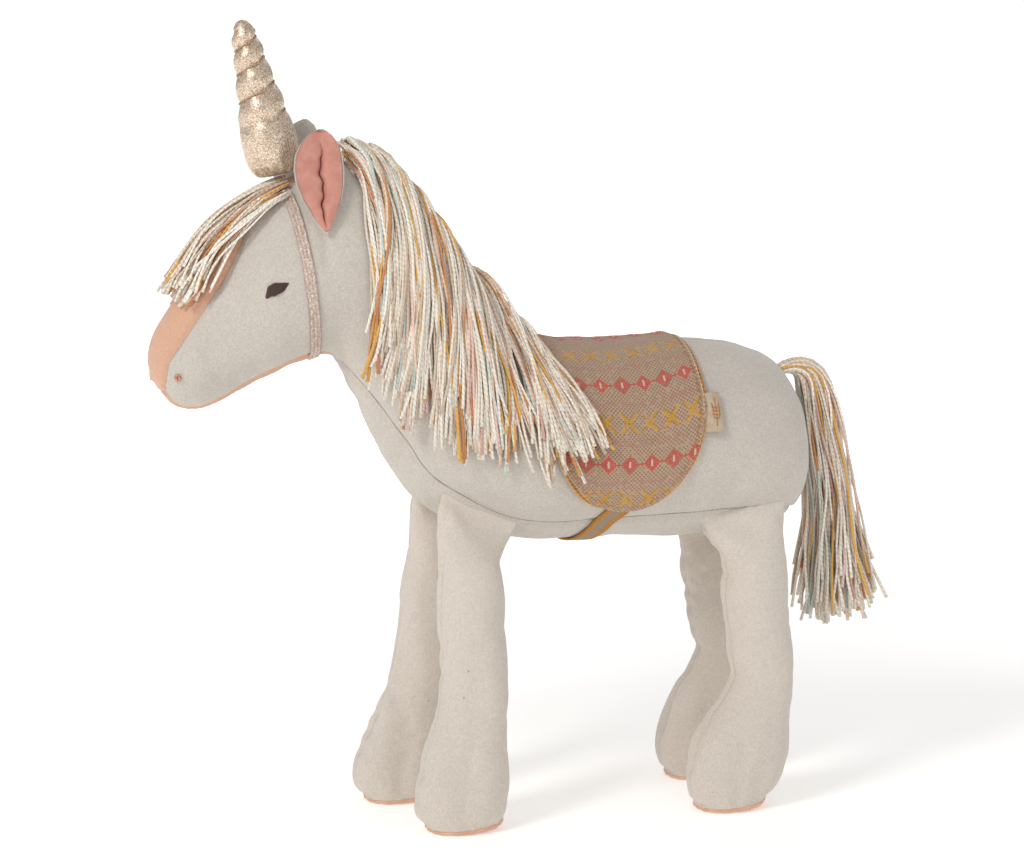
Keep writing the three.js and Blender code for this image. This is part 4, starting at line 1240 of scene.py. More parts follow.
def maneLocks(side, seed, share):
    source = np.random.default_rng(seed)
    look = maneLook
    locks = int(look["locks"] * share)
    table = np.linspace(0, 1, len(look["roots"]))
    roots, tips = np.array(look["roots"], float), np.array(look["tips"], float)
    rows = []
    for layer in (0, 1):
        for k in range(locks // 2):
            f = (k + 0.5 + 0.4 * layer + source.uniform(-0.3, 0.3)) / (locks // 2)
            f = min(max(f, 0), 1)
            root = np.array([np.interp(f, table, roots[:, 0]), np.interp(f, table, roots[:, 1])])
            root += source.normal(0, 1.2, 2)
            drift = f + source.normal(0, 0.035)
            tip = np.array([np.interp(drift, table, tips[:, 0]), np.interp(drift, table, tips[:, 1])])
            tip += source.normal(0, 2.0, 2) + np.array([0, layer * 3.0 + source.uniform(-3, 5)])
            if side < 0:
                tip += np.array([6, 9]) * (1 - f)
            # an under layer starts lower, so the parting is filled from below
            root[1] -= (1 - layer) * 7 * (1 - f) + source.uniform(0, 3)
            arch = 0.35 + 0.65 * smoothstep(0, 0.25, f) - 0.4 * smoothstep(0.45, 0.8, f)
            rise = (source.uniform(2.5, 5.5) + 3.0 * layer) * arch
            tip[0] += 2.5 * (1 - f)
            swing = source.uniform(-4, 4) if f > 0.12 else source.uniform(-1, 5)
            first = root + np.array([13.5 - 8.5 * f, rise])
            second = root * 0.42 + tip * 0.58 + np.array([9.5 * (1 - f) + 3 + swing, 14.0])
            if f > 0.8:
                second[0] -= 4
            flat = bezier((root, first, second, tip), look["points"])
            t = np.linspace(0, 1, look["points"])
            # each lock hangs in its own slow wave
            sway = source.uniform(1.2, 3.6) * np.sin(t * source.uniform(4, 8) + source.uniform(0, 6.28))
            flat[:, 0] += sway * smoothstep(0.15, 0.6, t)
            depth = np.array([flankDepth(x - middleX, min(z, 330)) for x, z in flat])
            depth = np.maximum(depth, 15 * (1 - np.exp(-t / 0.1)))
            depth[0] = -3.0
            depth = np.maximum.accumulate(depth)
            least, most = look["lift"]
            fullness = (most - least) * (0.25 + 0.75 * layer) * source.uniform(0.35, 1)
            lift = least + fullness * np.sin(np.clip(t * 1.15, 0, 1) * np.pi) ** 0.7 + 1.2 * t
            # locks that end on the saddle lie on top of it
            onSaddle = smoothstep(-6, 4, flat[:, 0]) * smoothstep(0.05, 0.3, t)
            lift = np.maximum(lift, onSaddle * 8.2)
            depth += lift
            centre = np.stack([flat[:, 0] - middleX, -side * depth, flat[:, 1]], 1)
            centre = smoothPaths(centre[None], 4)[0]
            outward = np.zeros_like(centre)
            outward[:, 1] = -side * smoothstep(0, 0.16, t)
            outward[:, 2] = 1 - smoothstep(0, 0.16, t)
            outward = unit(outward + 1e-6)
            tight = source.uniform(0.6, 1.0)
            spread = [
                (0, 1.3), (0.12, 2.4), (0.4, 3.9 * tight), (0.75, 3.8 * tight),
                (1, source.uniform(2.2, 5.2))
            ]
            strands = look["strands"] + source.integers(-3, 4)
            twist = source.uniform(-5, 5)
            rows.append(
                lockPaths(source, centre, outward, strands, spread, look["waver"], twist, look["ragged"])
            )
    return np.concatenate(rows)


def clearOfTrunk(paths, gap):
    # moves points that lie in the cloth, or closer to it than the gap, out to the gap
    flat = paths.reshape(-1, 3)
    for index, point in enumerate(flat):
        hit, facing = trunkSurface.find_nearest(Vector(point), 14.0)[:2]
        if hit is None:
            continue
        above = (Vector(point) - hit).dot(facing)
        if above < gap:
            flat[index] = np.array(hit + facing * gap)
    return flat.reshape(paths.shape)


def yarnPiece(name, paths, seed, body, replaced, thickness, sides=4):
    source = np.random.default_rng(seed)
    strands, count = paths.shape[:2]
    radii = source.uniform(*thickness, (strands, 1)) * np.ones((1, count))
    radii[:, 0] *= 0.8
    # the cut ends open a little
    radii[:, -1] *= 1.3
    radii[:, -2] *= 1.12
    piece = tubes(name, paths, radii, strandTints(source, strands, count), sides)
    dress(piece, yarnLook)
    if body:
        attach(piece, body)
    if replaced:
        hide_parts(*replaced)
    return piece


def crestPaths(paths):
    # strands that cross the parting, from one side's locks to the other's, sunk in among them at both ends
    middle = paths[:, :1] * np.array([1, 0, 1.0])
    near = paths[:, 1:4]
    over = np.concatenate([near[:, ::-1] * np.array([1, -1, 1.0]), middle, near], 1)
    count = 11
    over = np.swapaxes(cubicRows(np.swapaxes(over, 0, 1), np.linspace(0.3, 5.7, count), False), 0, 1)
    share = np.linspace(-1, 1, count)
    over[..., 2] += 1.3 - 3.0 * share ** 2
    over[..., 1] *= 1 - 0.14 * share ** 2
    return over


def buildMane():
    for name, side, share in (("left", 1, 1.0), ("right", -1, maneLook["farShare"])):
        paths = maneLocks(side, 60 if side > 0 else 61, share)
        paths = smoothPaths(clearOfTrunk(paths, 1.0), 1)
        paths = clearOfTrunk(paths, 0.8)
        if side > 0:
            crest = smoothPaths(crestPaths(paths[::2]), 1)
            yarnPiece("maneCrestYarn", crest, 72, "trunk", None, maneLook["thickness"])
        # strands over the saddle are kept as a piece of their own
        edge = np.max(paths[:, :, 0] + middleX, axis=1)
        over = edge > -1.5
        hidden = ("mane_yarn_" + name, "mane_seam_tape") if side > 0 else ("mane_yarn_" + name,)
        yarnPiece("maneYarn_" + name, paths[~over], 70, "trunk", hidden, maneLook["thickness"])
        rear = yarnPiece("maneYarnOverSaddle_" + name, paths[over], 71, None, None, maneLook["thickness"])
        blendOverHinge(rear)


def blendOverHinge(piece):
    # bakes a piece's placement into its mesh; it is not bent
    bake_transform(piece)


forelockLook = {
    "strands": 128, "points": 13, "thickness": (0.58, 0.78),
    "fromRib": 18.7, "toRib": 23.35, "rootAngle": 33, "tipAngle": 46,
}


def buildForelock():
    # a bunch brought forward from under the horn, falling to both sides of the blaze
    source = np.random.default_rng(83)
    count = forelockLook["points"]
    t = np.linspace(0, 1, count)
    paths = []
    for s in range(forelockLook["strands"]):
        sidewards = source.uniform(-1, 1)
        sidewards = math.copysign(abs(sidewards) ** 0.85, sidewards) + 0.04
        startPlace = forelockLook["fromRib"] + source.uniform(-0.35, 0.4)
        endPlace = forelockLook["toRib"] - 0.45 * abs(sidewards) ** 1.6 + source.uniform(-0.75, 0.45)
        startAngle = sidewards * forelockLook["rootAngle"]
        endAngle = sidewards * forelockLook["tipAngle"] + source.normal(0, 6)
        place = startPlace + (endPlace - startPlace) * t
        angle = startAngle + (endAngle - startAngle) * t ** 1.4
        angle = angle + 7.5 * np.sin(t * source.uniform(4, 9) + source.uniform(0, 6)) * t
        layer = source.uniform(0, 1)
        arch = np.sin(np.clip(0.12 + t, 0, 1) * np.pi * 0.62) ** 0.9
        lift = 0.9 + (1.6 + 7.0 * layer) * arch + 2.0 * layer * t ** 2
        points = trunkPoint(place, angle) + trunkNormal(place, angle) * lift[:, None]
        points[:, 2] -= 2.0 * t ** 3
        stray = np.stack([np.sin(t * 9 + s), np.sin(t * 7 + s * 2), np.cos(t * 8 + s)], 1)
        points += stray * 0.5 * t[:, None]
        paths.append(points)
    paths = smoothPaths(clearOfTrunk(np.array(paths), 0.9), 2)
    yarnPiece(
        "forelockYarn", clearOfTrunk(paths, 0.75), 84, "trunk", ("forelock_yarn",),
        forelockLook["thickness"]
    )


tailLook = {
    # X and Z of the bundle's middle, then half its thickness and half its width
    "line": [
        (140.5, 215.5, 2.3, 4.4), (148.8, 218.0, 3.8, 5.7), (158.0, 214.5, 8.0, 8.0),
        (162.8, 198.5, 10.6, 9.8), (166.5, 174, 11.5, 11), (170.0, 150, 13, 13.5),
        (172.0, 126, 17.5, 16), (174.0, 104, 23, 18.5), (176.0, 86, 29, 20),
    ],
    "strands": 205, "points": 16, "thickness": (0.6, 0.8),
}


def buildTail():
    look = tailLook
    source = np.random.default_rng(91)
    table = np.array(look["line"], float)
    count = look["points"]
    rows = cubicRows(table, np.linspace(0, len(table) - 1, count), False)
    middle = np.stack([rows[:, 0] - middleX, np.zeros(count), rows[:, 1]], 1)
    down = unit(np.gradient(middle, axis=0))
    across = np.tile([0, 1.0, 0], (count, 1))
    away = np.cross(down, across)
    t = np.linspace(0, 1, count)
    settled = smoothstep(0.12, 0.5, t)
    paths = []
    for _ in range(look["strands"]):
        angle = source.uniform(0, 2 * np.pi)
        radius = math.sqrt(source.uniform(0.0, 1)) * 0.97
        turn = angle + source.uniform(-0.9, 0.9) * t
        thick, wide = rows[:, 2] * radius, rows[:, 3] * radius
        wave = 2.0 * np.sin(t * source.uniform(8, 18) + source.uniform(0, 6.28)) * settled
        waveSide = 2.0 * np.sin(t * source.uniform(8, 18) + source.uniform(0, 6.28)) * settled
        line = middle + away * (thick * np.cos(turn) + wave)[:, None]
        line += across * (wide * np.sin(turn) + waveSide)[:, None]
        reach = 1 - source.uniform(0, 0.14) - 0.05 * (radius > 0.8)
        paths.append(trimmed(line, reach))
    # the roots are caught in the seam, so they start inside the cloth
    paths = np.array(paths)
    paths[:, 2:] = clearOfTrunk(paths[:, 2:].copy(), 0.9)
    paths = smoothPaths(paths, 1)
    yarn = yarnPiece("tailYarn", paths, 92, None, ("tail_yarn",), look["thickness"])
    # the thread that binds the bundle where it is sewn on
    share = np.linspace(0, 4, 96)
    turn = share * 2 * np.pi
    start, end = middle[1], middle[2]
    centre = start + (end - start) * (share / 4)[:, None]
    above = np.cross(unit(end - start), across[0])
    path = centre + across[0] * (np.sin(turn) * 4.9)[:, None] + above * (np.cos(turn) * 3.0)[:, None]
    binding = tubes("tailBinding", [path], 0.38, sides=6)
    dress(binding, creamThread)
    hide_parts("tail_root_binding")
    # the yarn and its binding are baked where they were made
    for piece in (yarn, binding):
        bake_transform(piece)


buildMane()
buildForelock()
buildTail()
print("mane, forelock and tail ready")


saddleLook = {
    # the pattern's X of its middle, half its length, how far it drops straight and in all,
    # the barrel's radius, and how far the knitted rows rise to the front and the rear
    "middle": 43, "halfLength": 41, "straight": 45, "drop": 109, "barrel": 50, "bow": (4.5, 7.0),
    "liningLift": 1.1, "liningThick": 0.7, "knitLift": 2.0, "knitThick": 1.2,
    "redRows": (3.5, 45.5, 83.5), "mustardRows": (25.5, 64.5, 101.5),
    "blushRows": (35.5, 55.5, 73.5, 92.5), "pitch": 11,
    "ground": (201, 169, 139), "groundDark": (158, 122, 98), "groundLight": (224, 198, 170),
    "blush": (198, 136, 118),
    "red": (224, 100, 84), "mustard": (230, 170, 56), "cream": (236, 220, 200),
}
barrelPlaces = np.linspace(3.6, 10.5, 400)
barrelX = ribAt(barrelPlaces)[:, [0, 2]].mean(1)


def saddleDrop(s, grow=0.0):
    look = saddleLook
    share = np.minimum(np.abs(s) / (look["halfLength"] + grow), 1)
    return look["straight"] + (look["drop"] + grow - look["straight"]) * np.sqrt(1 - share ** 2)


def saddleBow(s):
    # how far the knitted rows rise towards the cloth's front and rear edges
    share = np.asarray(s, float) / saddleLook["halfLength"]
    return share ** 2 * np.where(share > 0, saddleLook["bow"][1], saddleLook["bow"][0])


def smoothGrid(values):
    wide = np.pad(values, 1, mode="edge")
    return (wide[1:-1, 1:-1] * 2 + wide[:-2, 1:-1] + wide[2:, 1:-1] + wide[1:-1, :-2] + wide[1:-1, 2:]) / 6


def saddleBase(s, t):
    # the pattern's surface and the way it faces; t is positive down the left side
    place = np.interp(-(s + saddleLook["middle"]), -barrelX, barrelPlaces)
    angle = np.degrees(t / saddleLook["barrel"])
    return trunkPoint(place, angle), trunkNormal(place, angle)


# How far the sewn skin stands off the pattern, every 2 mm, evened out as a cloth laid over it is
heightStart, heightStep, heightCount = (-52.0, -126.0), 2.0, (53, 172)
probeFrom = 14
sRows, tRows = np.meshgrid(
    np.arange(heightCount[0]) * heightStep + heightStart[0],
    np.arange(heightCount[1]) * heightStep + heightStart[1], indexing="ij"
)
skinHeights = np.zeros(sRows.shape)
basePoints, baseNormals = saddleBase(sRows, tRows)
for index in np.ndindex(sRows.shape):
    away = Vector(basePoints[index] + baseNormals[index] * probeFrom)
    reach = trunkSurface.ray_cast(away, Vector(-baseNormals[index]), 30)[3]
    skinHeights[index] = np.clip(probeFrom - reach, -4, 4) if reach is not None else 0
for _ in range(4):
    skinHeights = smoothGrid(skinHeights)


def skinHeight(s, t):
    row = np.clip((s - heightStart[0]) / heightStep, 0, sRows.shape[0] - 1.001)
    column = np.clip((t - heightStart[1]) / heightStep, 0, sRows.shape[1] - 1.001)
    i, j = row.astype(int), column.astype(int)
    u, v = row - i, column - j
    low = skinHeights[i, j] * (1 - v) + skinHeights[i, j + 1] * v
    high = skinHeights[i + 1, j] * (1 - v) + skinHeights[i + 1, j + 1] * v
    return low * (1 - u) + high * u


def saddlePoint(s, t, side, lift):
    # a point lift above the body's cloth: s runs along the spine from the saddle's middle, t down from it
    s, t = np.broadcast_arrays(np.asarray(s, float), np.asarray(t, float))
    base, normal = saddleBase(s, t * side)
    wave = 0.45 * np.sin(s * 0.13 + 1) * np.sin(t * 0.09) + 0.35 * np.sin(s * 0.21 + t * 0.12)
    wave = wave * smoothstep(20, 70, t)
    return base + normal * (skinHeight(s, t * side) + wave + lift)[..., None]


def clothHalf(name, side, cell, grow, lift, thick, colours=None):
    # half of the saddle as a closed thin sheet cut to its outline, one cell for each stitch
    half = saddleLook["halfLength"] + grow
    columns = int(round(2 * half / cell)) + 1
    s = np.linspace(-half, half, columns)
    drop = saddleDrop(s, grow)
    bow = saddleBow(s)
    reach = drop + bow
    rows = int(math.ceil(reach.max() / cell)) + 1
    t = np.arange(rows) * cell
    last = np.minimum(np.ceil(reach / cell).astype(int), rows - 1)
    tGrid = np.minimum(t[:, None], reach[None, :])
    sGrid = np.broadcast_to(s[None, :], tGrid.shape)
    down = tGrid - bow[None, :] * smoothstep(0, 20, tGrid)
    edge = smoothstep(9, 0, drop[None, :] - down)
    under = saddlePoint(sGrid, down, side, lift + 0.5 * edge)
    normal = unit(np.cross(np.gradient(under, axis=0), np.gradient(under, axis=1))) * side
    for j in range(columns):
        normal[last[j]:, j] = normal[max(last[j] - 1, 0), j]
    over = under + normal * thick
    count = rows * columns
    index = np.minimum(np.arange(rows)[:, None], last[None, :]) * columns + np.arange(columns)[None, :]
    faces = []
    place = np.stack([sGrid, tGrid], -1).reshape(-1, 2)
    for i in range(rows - 1):
        for j in range(columns - 1):
            corner = [index[i, j], index[i, j + 1], index[i + 1, j + 1], index[i + 1, j]]
            kept = [c for k, c in enumerate(corner) if c != corner[k - 1]]
            if len(kept) < 3:
                continue
            faces.append(kept)
    edges = dict.fromkeys((face[k], face[(k + 1) % len(face)]) for face in faces for k in range(len(face)))
    rim = [(a, b) for a, b in edges if (b, a) not in edges]
    allFaces = faces + [[c + count for c in reversed(face)] for face in faces]
    allFaces += [[b, a, a + count, b + count] for a, b in rim]
    points = np.vstack([over.reshape(-1, 3), under.reshape(-1, 3)])
    used = sorted({c for face in allFaces for c in face})
    renumber = {old: new for new, old in enumerate(used)}
    points = points[used]
    uvs = [[tuple(place[c % count]) for c in face] for face in allFaces]
    cells = [place[[c % count for c in face]].mean(0) for face in allFaces]
    allFaces = [[renumber[c] for c in face] for face in allFaces]
    flip = signedVolume(points, allFaces) < 0
    sheet = makeObject(name, points, allFaces, uvs, flip)
    if colours is not None:
        tint = sheet.data.attributes.new("knitTint", "FLOAT_COLOR", "CORNER")
        values = np.ones((sum(len(f) for f in allFaces), 4), np.float32)
        start = 0
        for face, (cellS, cellT) in zip(allFaces, cells):
            values[start:start + len(face), :3] = colours(cellS, cellT, side)
            start += len(face)
        tint.data.foreach_set("color", values.reshape(-1))
    return sheet


def knitTone(name):
    return np.array(linear(*saddleLook[name])[:3])


def stitchColour(s, t, side):
    # the colour of the knit stitch at s, t: rows of red diamonds and mustard crosses on a heather ground
    look = saddleLook
    column, row = math.floor(s), math.floor(t)
    chance = math.sin(column * 12.9898 + row * 78.233 + side * 3.1) * 43758.5453
    chance -= math.floor(chance)
    tone = knitTone("ground")
    if (column + row) % 2 == 0 and chance < 0.92:
        tone = tone * 0.25 + knitTone("groundDark") * 0.75
    elif (column + row) % 2 == 1:
        tone = tone * 0.4 + knitTone("groundLight") * 0.6
    for blushRow in look["blushRows"]:
        if abs(t - blushRow) < 1.6 and chance < 0.55:
            tone = tone * 0.55 + knitTone("blush") * 0.45
    pitch = look["pitch"]
    across = abs((column + 5) % pitch - pitch // 2)
    for redRow in look["redRows"]:
        down = abs(row + 0.5 - redRow)
        if across == 0 and down < 1.2:
            return knitTone("cream")
        petals = across / 4.9 + down / 4.9 < 1.0 and not (across >= 4 and down >= 1) or (
            across == 0 and down < 4.6
        )
        if petals or (down < 0.6 and across > 3):
            return knitTone("red") * (0.84 + 0.24 * chance)
    for mustardRow in look["mustardRows"]:
        down = abs(row + 0.5 - mustardRow)
        if down < 5 and abs(across - down * 0.85) < 1.3 and chance > 0.08:
            return knitTone("mustard") * (0.84 + 0.24 * chance)
    return tone


def knitMaterial():
    # stocking stitch: each cell of the UV grid is one V, a millimetre wide
    material, tree, shader = newMaterial("jacquardKnit")
    tint = attribute(tree, "knitTint", "Color")
    split = node(tree, "SeparateXYZ", {0: clothPlace(tree)})
    leg = maths(tree, "PINGPONG", split.outputs[0], 0.5)
    leaned = maths(tree, "MULTIPLY_ADD", leg, 1.3, split.outputs[1])
    ridge = maths(
        tree, "MULTIPLY_ADD", maths(tree, "SINE", maths(tree, "MULTIPLY", leaned, 2 * math.pi)), 0.5, 0.5
    )
    gap = maths(
        tree, "MULTIPLY_ADD", maths(tree, "COSINE", maths(tree, "MULTIPLY", leg, 4 * math.pi)), -0.5, 0.5
    )
    fibre = noise(tree, objectPlace(tree), 1700, 3, 0.7)
    # painted shade in the gaps between the stitches
    valleyShade = maths(
        tree, "SUBTRACT", 1.0,
        maths(tree, "MULTIPLY", ramp(tree, ridge, 0.0, 0.5), ramp(tree, gap, 0.0, 0.4))
    )
    tone = mixColour(tree, maths(tree, "MULTIPLY", valleyShade, 0.5), tint, linear(112, 78, 62))
    tone = tinted(tree, tone, ramp(tree, fibre, 0.5, 0.75), 0.22, linear(246, 232, 214))
    tree.links.new(tone, shader.inputs["Base Color"])
    shader.inputs["Roughness"].default_value = 0.9
    shader.inputs["Specular IOR Level"].default_value = 0.2
    shader.inputs["Sheen Weight"].default_value = 0.3
    height = maths(tree, "ADD", maths(tree, "MULTIPLY", ridge, gap), maths(tree, "MULTIPLY", fibre, 0.35))
    tree.links.new(bump(tree, height, 0.7, 0.0005), shader.inputs["Normal"])
    return material


knit = knitMaterial()
liningCotton = cottonMaterial("saddleLiningCotton", (214, 176, 128), (190, 148, 98), (228, 196, 152), 1.0)
bindingThread = threadMaterial("ochreWhippedBinding", (214, 150, 52), (150, 96, 40), 2.6)
creamBinding = threadMaterial("creamBinding", (222, 200, 170), (168, 136, 108), 2.6)
braidLook = {
    "ochre": (206, 144, 48), "ochreDark": (150, 98, 34), "middle": (178, 156, 132),
    "middleDark": (126, 104, 84)
}


def braidMaterial(halfWidth):
    # a woven band: ochre edges and a ribbed grey-beige middle, on its own UV in millimetres
    material, tree, shader = newMaterial("girthBraid")
    split = node(tree, "SeparateXYZ", {0: clothPlace(tree)})
    fromEdge = maths(tree, "ABSOLUTE", maths(tree, "SUBTRACT", split.outputs[0], halfWidth))
    ribbing = maths(
        tree, "MULTIPLY_ADD", maths(tree, "SINE", maths(tree, "MULTIPLY", split.outputs[0], 5.2)), 0.5, 0.5
    )
    picks = maths(
        tree, "MULTIPLY_ADD", maths(tree, "SINE", maths(tree, "MULTIPLY", split.outputs[1], 7.5)), 0.5, 0.5
    )
    ochre = mixColour(tree, picks, linear(*braidLook["ochreDark"]), linear(*braidLook["ochre"]))
    grey = mixColour(tree, ribbing, linear(*braidLook["middleDark"]), linear(*braidLook["middle"]))
    tone = mixColour(tree, ramp(tree, fromEdge, 2.7, 3.1), grey, ochre)
    fibre = noise(tree, objectPlace(tree), 1700, 3, 0.7)
    tone = tinted(tree, tone, ramp(tree, fibre, 0.5, 0.75), 0.2, linear(240, 220, 186))
    tree.links.new(tone, shader.inputs["Base Color"])
    shader.inputs["Roughness"].default_value = 0.85
    height = maths(tree, "ADD", maths(tree, "MULTIPLY", ribbing, 0.6), maths(tree, "MULTIPLY", picks, 0.6))
    tree.links.new(bump(tree, height, 0.6, 0.0004), shader.inputs["Normal"])
    return material


def outlinePlaces(grow, step, inset=0.0):
    # s and t along the saddle's edge from the spine round one flap, about step apart
    half = saddleLook["halfLength"] + grow - inset
    s = -half * np.cos(np.linspace(0, np.pi, 260))
    t = saddleDrop(s, grow - inset)
    straight = np.linspace(0, saddleLook["straight"], 40)[:-1]
    s = np.concatenate([np.full(39, -half), s, np.full(39, half)])
    t = np.concatenate([straight, t, straight[::-1]])
    run = np.concatenate([[0], np.cumsum(np.hypot(np.diff(s), np.diff(t)))])
    places = np.linspace(0, run[-1], int(run[-1] / step))
    return np.interp(places, run, s), np.interp(places, run, t)


def buildSaddle(name, side):
    look = saddleLook
    lining = clothHalf("saddleLining_" + name, side, 2.0, 1.6, look["liningLift"], look["liningThick"])
    dress(lining, liningCotton)
    cover = clothHalf("saddleKnit_" + name, side, 1.0, 0.0, look["knitLift"], look["knitThick"], stitchColour)
    dress(cover, knit)
    # a rectangle, and half an ellipse below it
    area = 2 * look["halfLength"] * look["straight"]
    area += math.pi / 2 * look["halfLength"] * (look["drop"] - look["straight"])
    area *= 1e-6
    top = name == "left"
    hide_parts("saddle_lining_flap_" + name, *(["saddle_lining_top"] if top else []))
    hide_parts("saddle_knit_flap_" + name, *(["saddle_knit_top"] if top else []))
    # a whipped cord covers the edge, and a cream row runs just inside it
    s, t = outlinePlaces(0.6, 1.6)
    cord = saddlePoint(s, t, side, 2.2)
    piping = tubes("saddlePiping_" + name, smoothPaths(cord[None], 3), 0.62, sides=7)
    dress(piping, bindingThread)
    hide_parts("saddle_piping_" + name)
    s, t = outlinePlaces(0.0, 1.6, 0.7)
    rolled = saddlePoint(s, t, side, look["knitLift"] + look["knitThick"] - 0.1)
    roll = tubes("saddleRolledEdge_" + name, smoothPaths(rolled[None], 3), 0.42, sides=6)
    dress(roll, creamBinding)
    s, t = outlinePlaces(0.0, 0.55, 2.6)
    line = smoothPaths(saddlePoint(s, t, side, look["knitLift"] + look["knitThick"] + 0.1)[None], 4)[0]
    stitches = []
    for start in range(2, len(line) - 6, 6):
        stitch = line[start:start + 5].copy()
        place = np.interp(-(s[start:start + 5] + look["middle"]), -barrelX, barrelPlaces)
        outward = unit(trunkNormal(place, np.degrees(t[start:start + 5] / look["barrel"]) * side))
        stitch += outward * np.array([-0.5, 0.12, 0.25, 0.12, -0.5])[:, None]
        stitches.append(stitch)
    running = tubes("saddleRunningStitch_" + name, stitches, 0.3, sides=6)
    dress(running, ochreThread)
    for piece in (lining, cover, piping, roll, running):
        blendOverHinge(piece)


girthLook = {"half": 5.6, "thick": 1.0, "from": 126, "steps": 70}


def buildGirth():
    # a band from under the left flap round the belly to the right one
    angle = np.linspace(girthLook["from"], 360 - girthLook["from"], girthLook["steps"])
    share = (angle - angle[0]) / (angle[-1] - angle[0])
    s = (42 - 12.5 * np.sin(share * np.pi)) - saddleLook["middle"]
    t = np.radians(angle) * saddleLook["barrel"]
    centre = saddlePoint(s, t, 1, 0.9)
    centre = smoothPaths(centre[None], 4)[0]
    place = np.interp(-(s + saddleLook["middle"]), -barrelX, barrelPlaces)
    normal = trunkNormal(place, angle)
    along = unit(np.gradient(centre, axis=0))
    across = unit(np.cross(along, normal))
    u = np.linspace(-1, 1, 15)
    top = girthLook["thick"] / 2 * (0.75 + 0.25 * (1 - u ** 8))
    width = np.concatenate([u, u[::-1]]) * girthLook["half"]
    height = np.concatenate([top, -np.full(15, girthLook["thick"] / 2)])
    grid = centre[:, None] + across[:, None] * width[None, :, None] + normal[:, None] * height[None, :, None]
    band = stuffedGrid("girthStrap", grid)
    girthAcross = np.linalg.norm(np.roll(grid, -1, 1) - grid, axis=2).sum(1).mean() / 4
    dress(band, braidMaterial(girthAcross))
    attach(band, "saddle_flap_left")
    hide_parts("girth_strap")


labelLook = {
    "cloth": (190, 170, 147), "shade": (166, 144, 120), "from": 52.5, "tall": 18.0, "out": 7.8, "tuck": 2.4
}


def buildLabel():
    # a folded woven tab caught in the flap's rear edge, with a small sprig stitched on it
    look = labelLook
    half = saddleLook["halfLength"]
    u = np.linspace(-look["tuck"], look["out"], 13)
    v = np.linspace(0, look["tall"], 21)
    s, t = np.meshgrid(half + u, look["from"] + v, indexing="ij")
    lift = np.broadcast_to((2.1 + 1.0 * smoothstep(-0.5, 3.0, u) + 0.5 * np.sin(u * 0.5))[:, None], s.shape)
    under = saddlePoint(s, t, 1, lift)
    over = saddlePoint(s, t, 1, lift + 0.75 - 0.25 * smoothstep(look["out"] - 1.2, look["out"], u)[:, None])
    # a cross-section runs over the top face and back under it
    rings = np.concatenate([over, under[:, ::-1]], axis=1)
    tab = stuffedGrid("wovenLabel", rings)
    dress(tab, cottonMaterial("labelTape", look["cloth"], look["shade"], (206, 188, 166), 1.6))
    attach(tab, "saddle_flap_left")
    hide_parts("woven_label")
    paths = []
    stem = [(look["out"] * 0.5 + 0.5 * math.sin(k / 8 * 3), 3.0 + k / 8 * 12.5) for k in range(9)]
    paths.append(stem)
    for k in range(4):
        baseU, baseV = stem[2 + k]
        for turn in (-1, 1):
            leaf = [
                (baseU + turn * 2.2 * w, baseV + 0.9 - 1.9 * w + 1.1 * math.sin(w * 3.14))
                for w in np.linspace(0, 1, 9)
            ]
            paths.append(leaf)
    lines = []
    for path in paths:
        flat = np.array(path)
        lift = 2.1 + 1.0 + 0.5 * np.sin(flat[:, 0] * 0.5) + 0.8
        lines.append(saddlePoint(half + flat[:, 0], look["from"] + flat[:, 1], 1, lift))
    sprig = tubes("labelSprig", lines, 0.24, sides=6)
    dress(sprig, ochreThread)
    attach(sprig, "saddle_flap_left")


buildSaddle("left", 1)
buildSaddle("right", -1)
buildGirth()
buildLabel()
print("saddle ready")


view = {"azimuth": -17.0, "elevation": 7.5, "distance": 1350.0, "target": (-6.7, 0.0, 192.0), "lens": 96.35}


def setCamera():
    azimuth, elevation = math.radians(view["azimuth"]), math.radians(view["elevation"])
    level = math.cos(elevation)
    back = Vector((math.sin(azimuth) * level, -math.cos(azimuth) * level, math.sin(elevation)))
    data = bpy.data.cameras.new("camera")
    data.lens = view["lens"]
    data.sensor_width = 36
    data.clip_start = 0.05
    camera = bpy.data.objects.new("camera", data)
    bpy.context.scene.collection.objects.link(camera)
    camera.location = (Vector(view["target"]) + back * view["distance"]) * millimetre
    camera.rotation_euler = (-back).to_track_quat("-Z", "Y").to_euler()
    bpy.context.scene.camera = camera


def areaLight(name, place, size, power, colour=(1, 1, 1)):
    data = bpy.data.lights.new(name, "AREA")
    data.shape = "DISK"
    data.size = size
    data.energy = power
    data.color = colour
    light = bpy.data.objects.new(name, data)
    bpy.context.scene.collection.objects.link(light)
    light.location = place
    light.rotation_euler = (Vector((0, 0, 0.18)) - Vector(place)).to_track_quat("-Z", "Y").to_euler()


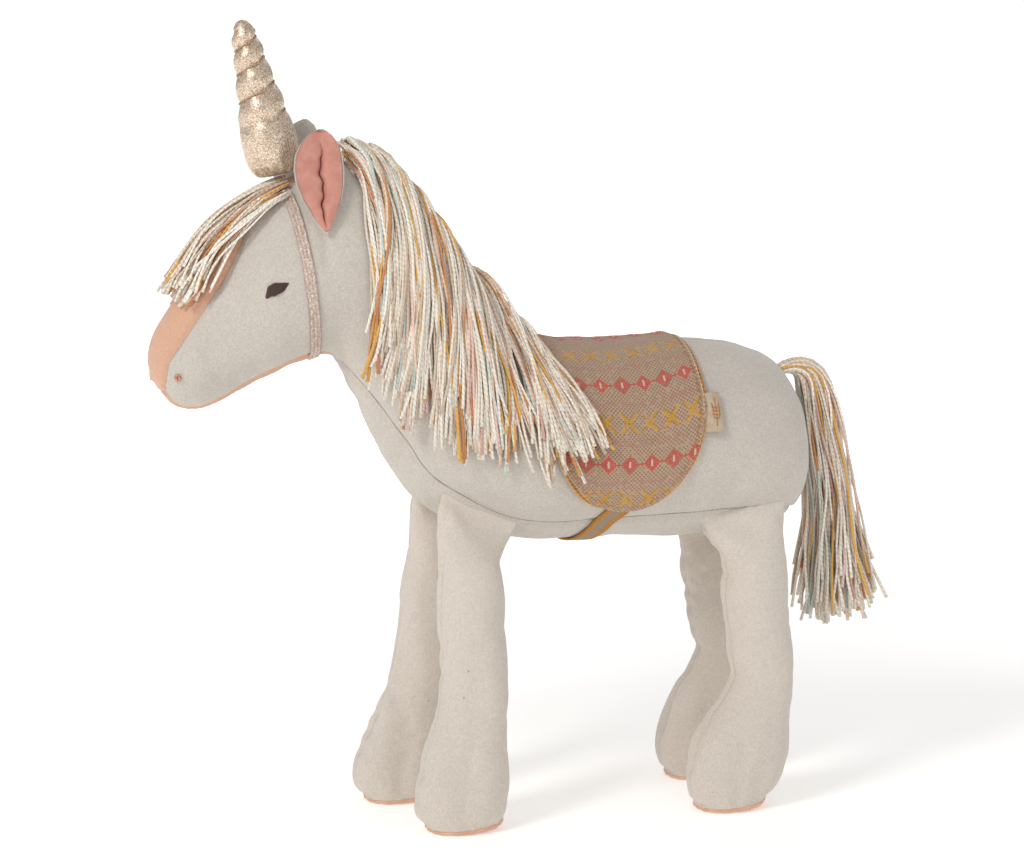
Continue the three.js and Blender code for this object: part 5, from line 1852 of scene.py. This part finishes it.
studioLook = {
    "sky": 0.56, "floorGlow": 0.3,
    # name, place in metres, width, watts and colour
    "lights": [
        ("keyLight", (-1.5, -1.05, 1.5), 0.65, 17.5, (1.0, 0.985, 0.96)),
        ("fillLight", (0.9, -1.7, 1.0), 1.4, 1.8, (0.97, 0.985, 1.0)),
        ("backLight", (0.6, 1.6, 1.4), 1.2, 3, (1.0, 1.0, 1.0)),
    ],
}


def setStudio():
    deselectAll()
    bpy.ops.mesh.primitive_plane_add(size=14, location=(0, 0, 0))
    floor = bpy.context.object
    floor.name = "studioFloor"
    material, tree, shader = newMaterial("paleFloor")
    grain = noise(tree, objectPlace(tree), 4, 2)
    tree.links.new(
        mixColour(tree, grain, linear(250, 249, 247), linear(255, 254, 252)), shader.inputs["Base Color"]
    )
    shader.inputs["Roughness"].default_value = 0.9
    shader.inputs["Specular IOR Level"].default_value = 0.1
    shader.inputs["Emission Color"].default_value = (1, 1, 1, 1)
    # the floor glows, more away from the toy: painted light that keeps it white and lights the toy from below
    # in place of bounce light
    away = node(tree, "VectorMath", {0: objectPlace(tree)}, operation="LENGTH").outputs["Value"]
    glow = maths(tree, "MULTIPLY_ADD", ramp(tree, away, 0.35, 1.6), 0.5, studioLook["floorGlow"])
    tree.links.new(glow, shader.inputs["Emission Strength"])
    floor.data.materials.append(material)
    world = bpy.data.worlds.new("studio")
    bpy.context.scene.world = world
    world.use_nodes = True
    sky = next(n for n in world.node_tree.nodes if n.type == "BACKGROUND")
    sky.inputs[0].default_value = (1.0, 1.0, 1.0, 1.0)
    # the sky is seen white, and lights the toy more gently than it is seen
    seen = node(world.node_tree, "LightPath").outputs["Is Camera Ray"]
    brightness = maths(world.node_tree, "MULTIPLY_ADD", seen, 1.1 - studioLook["sky"], studioLook["sky"])
    world.node_tree.links.new(brightness, sky.inputs[1])
    for name, place, size, power, colour in studioLook["lights"]:
        areaLight(name, place, size, power, colour)
    bpy.context.scene.view_settings.view_transform = "Standard"


setCamera()
setStudio()
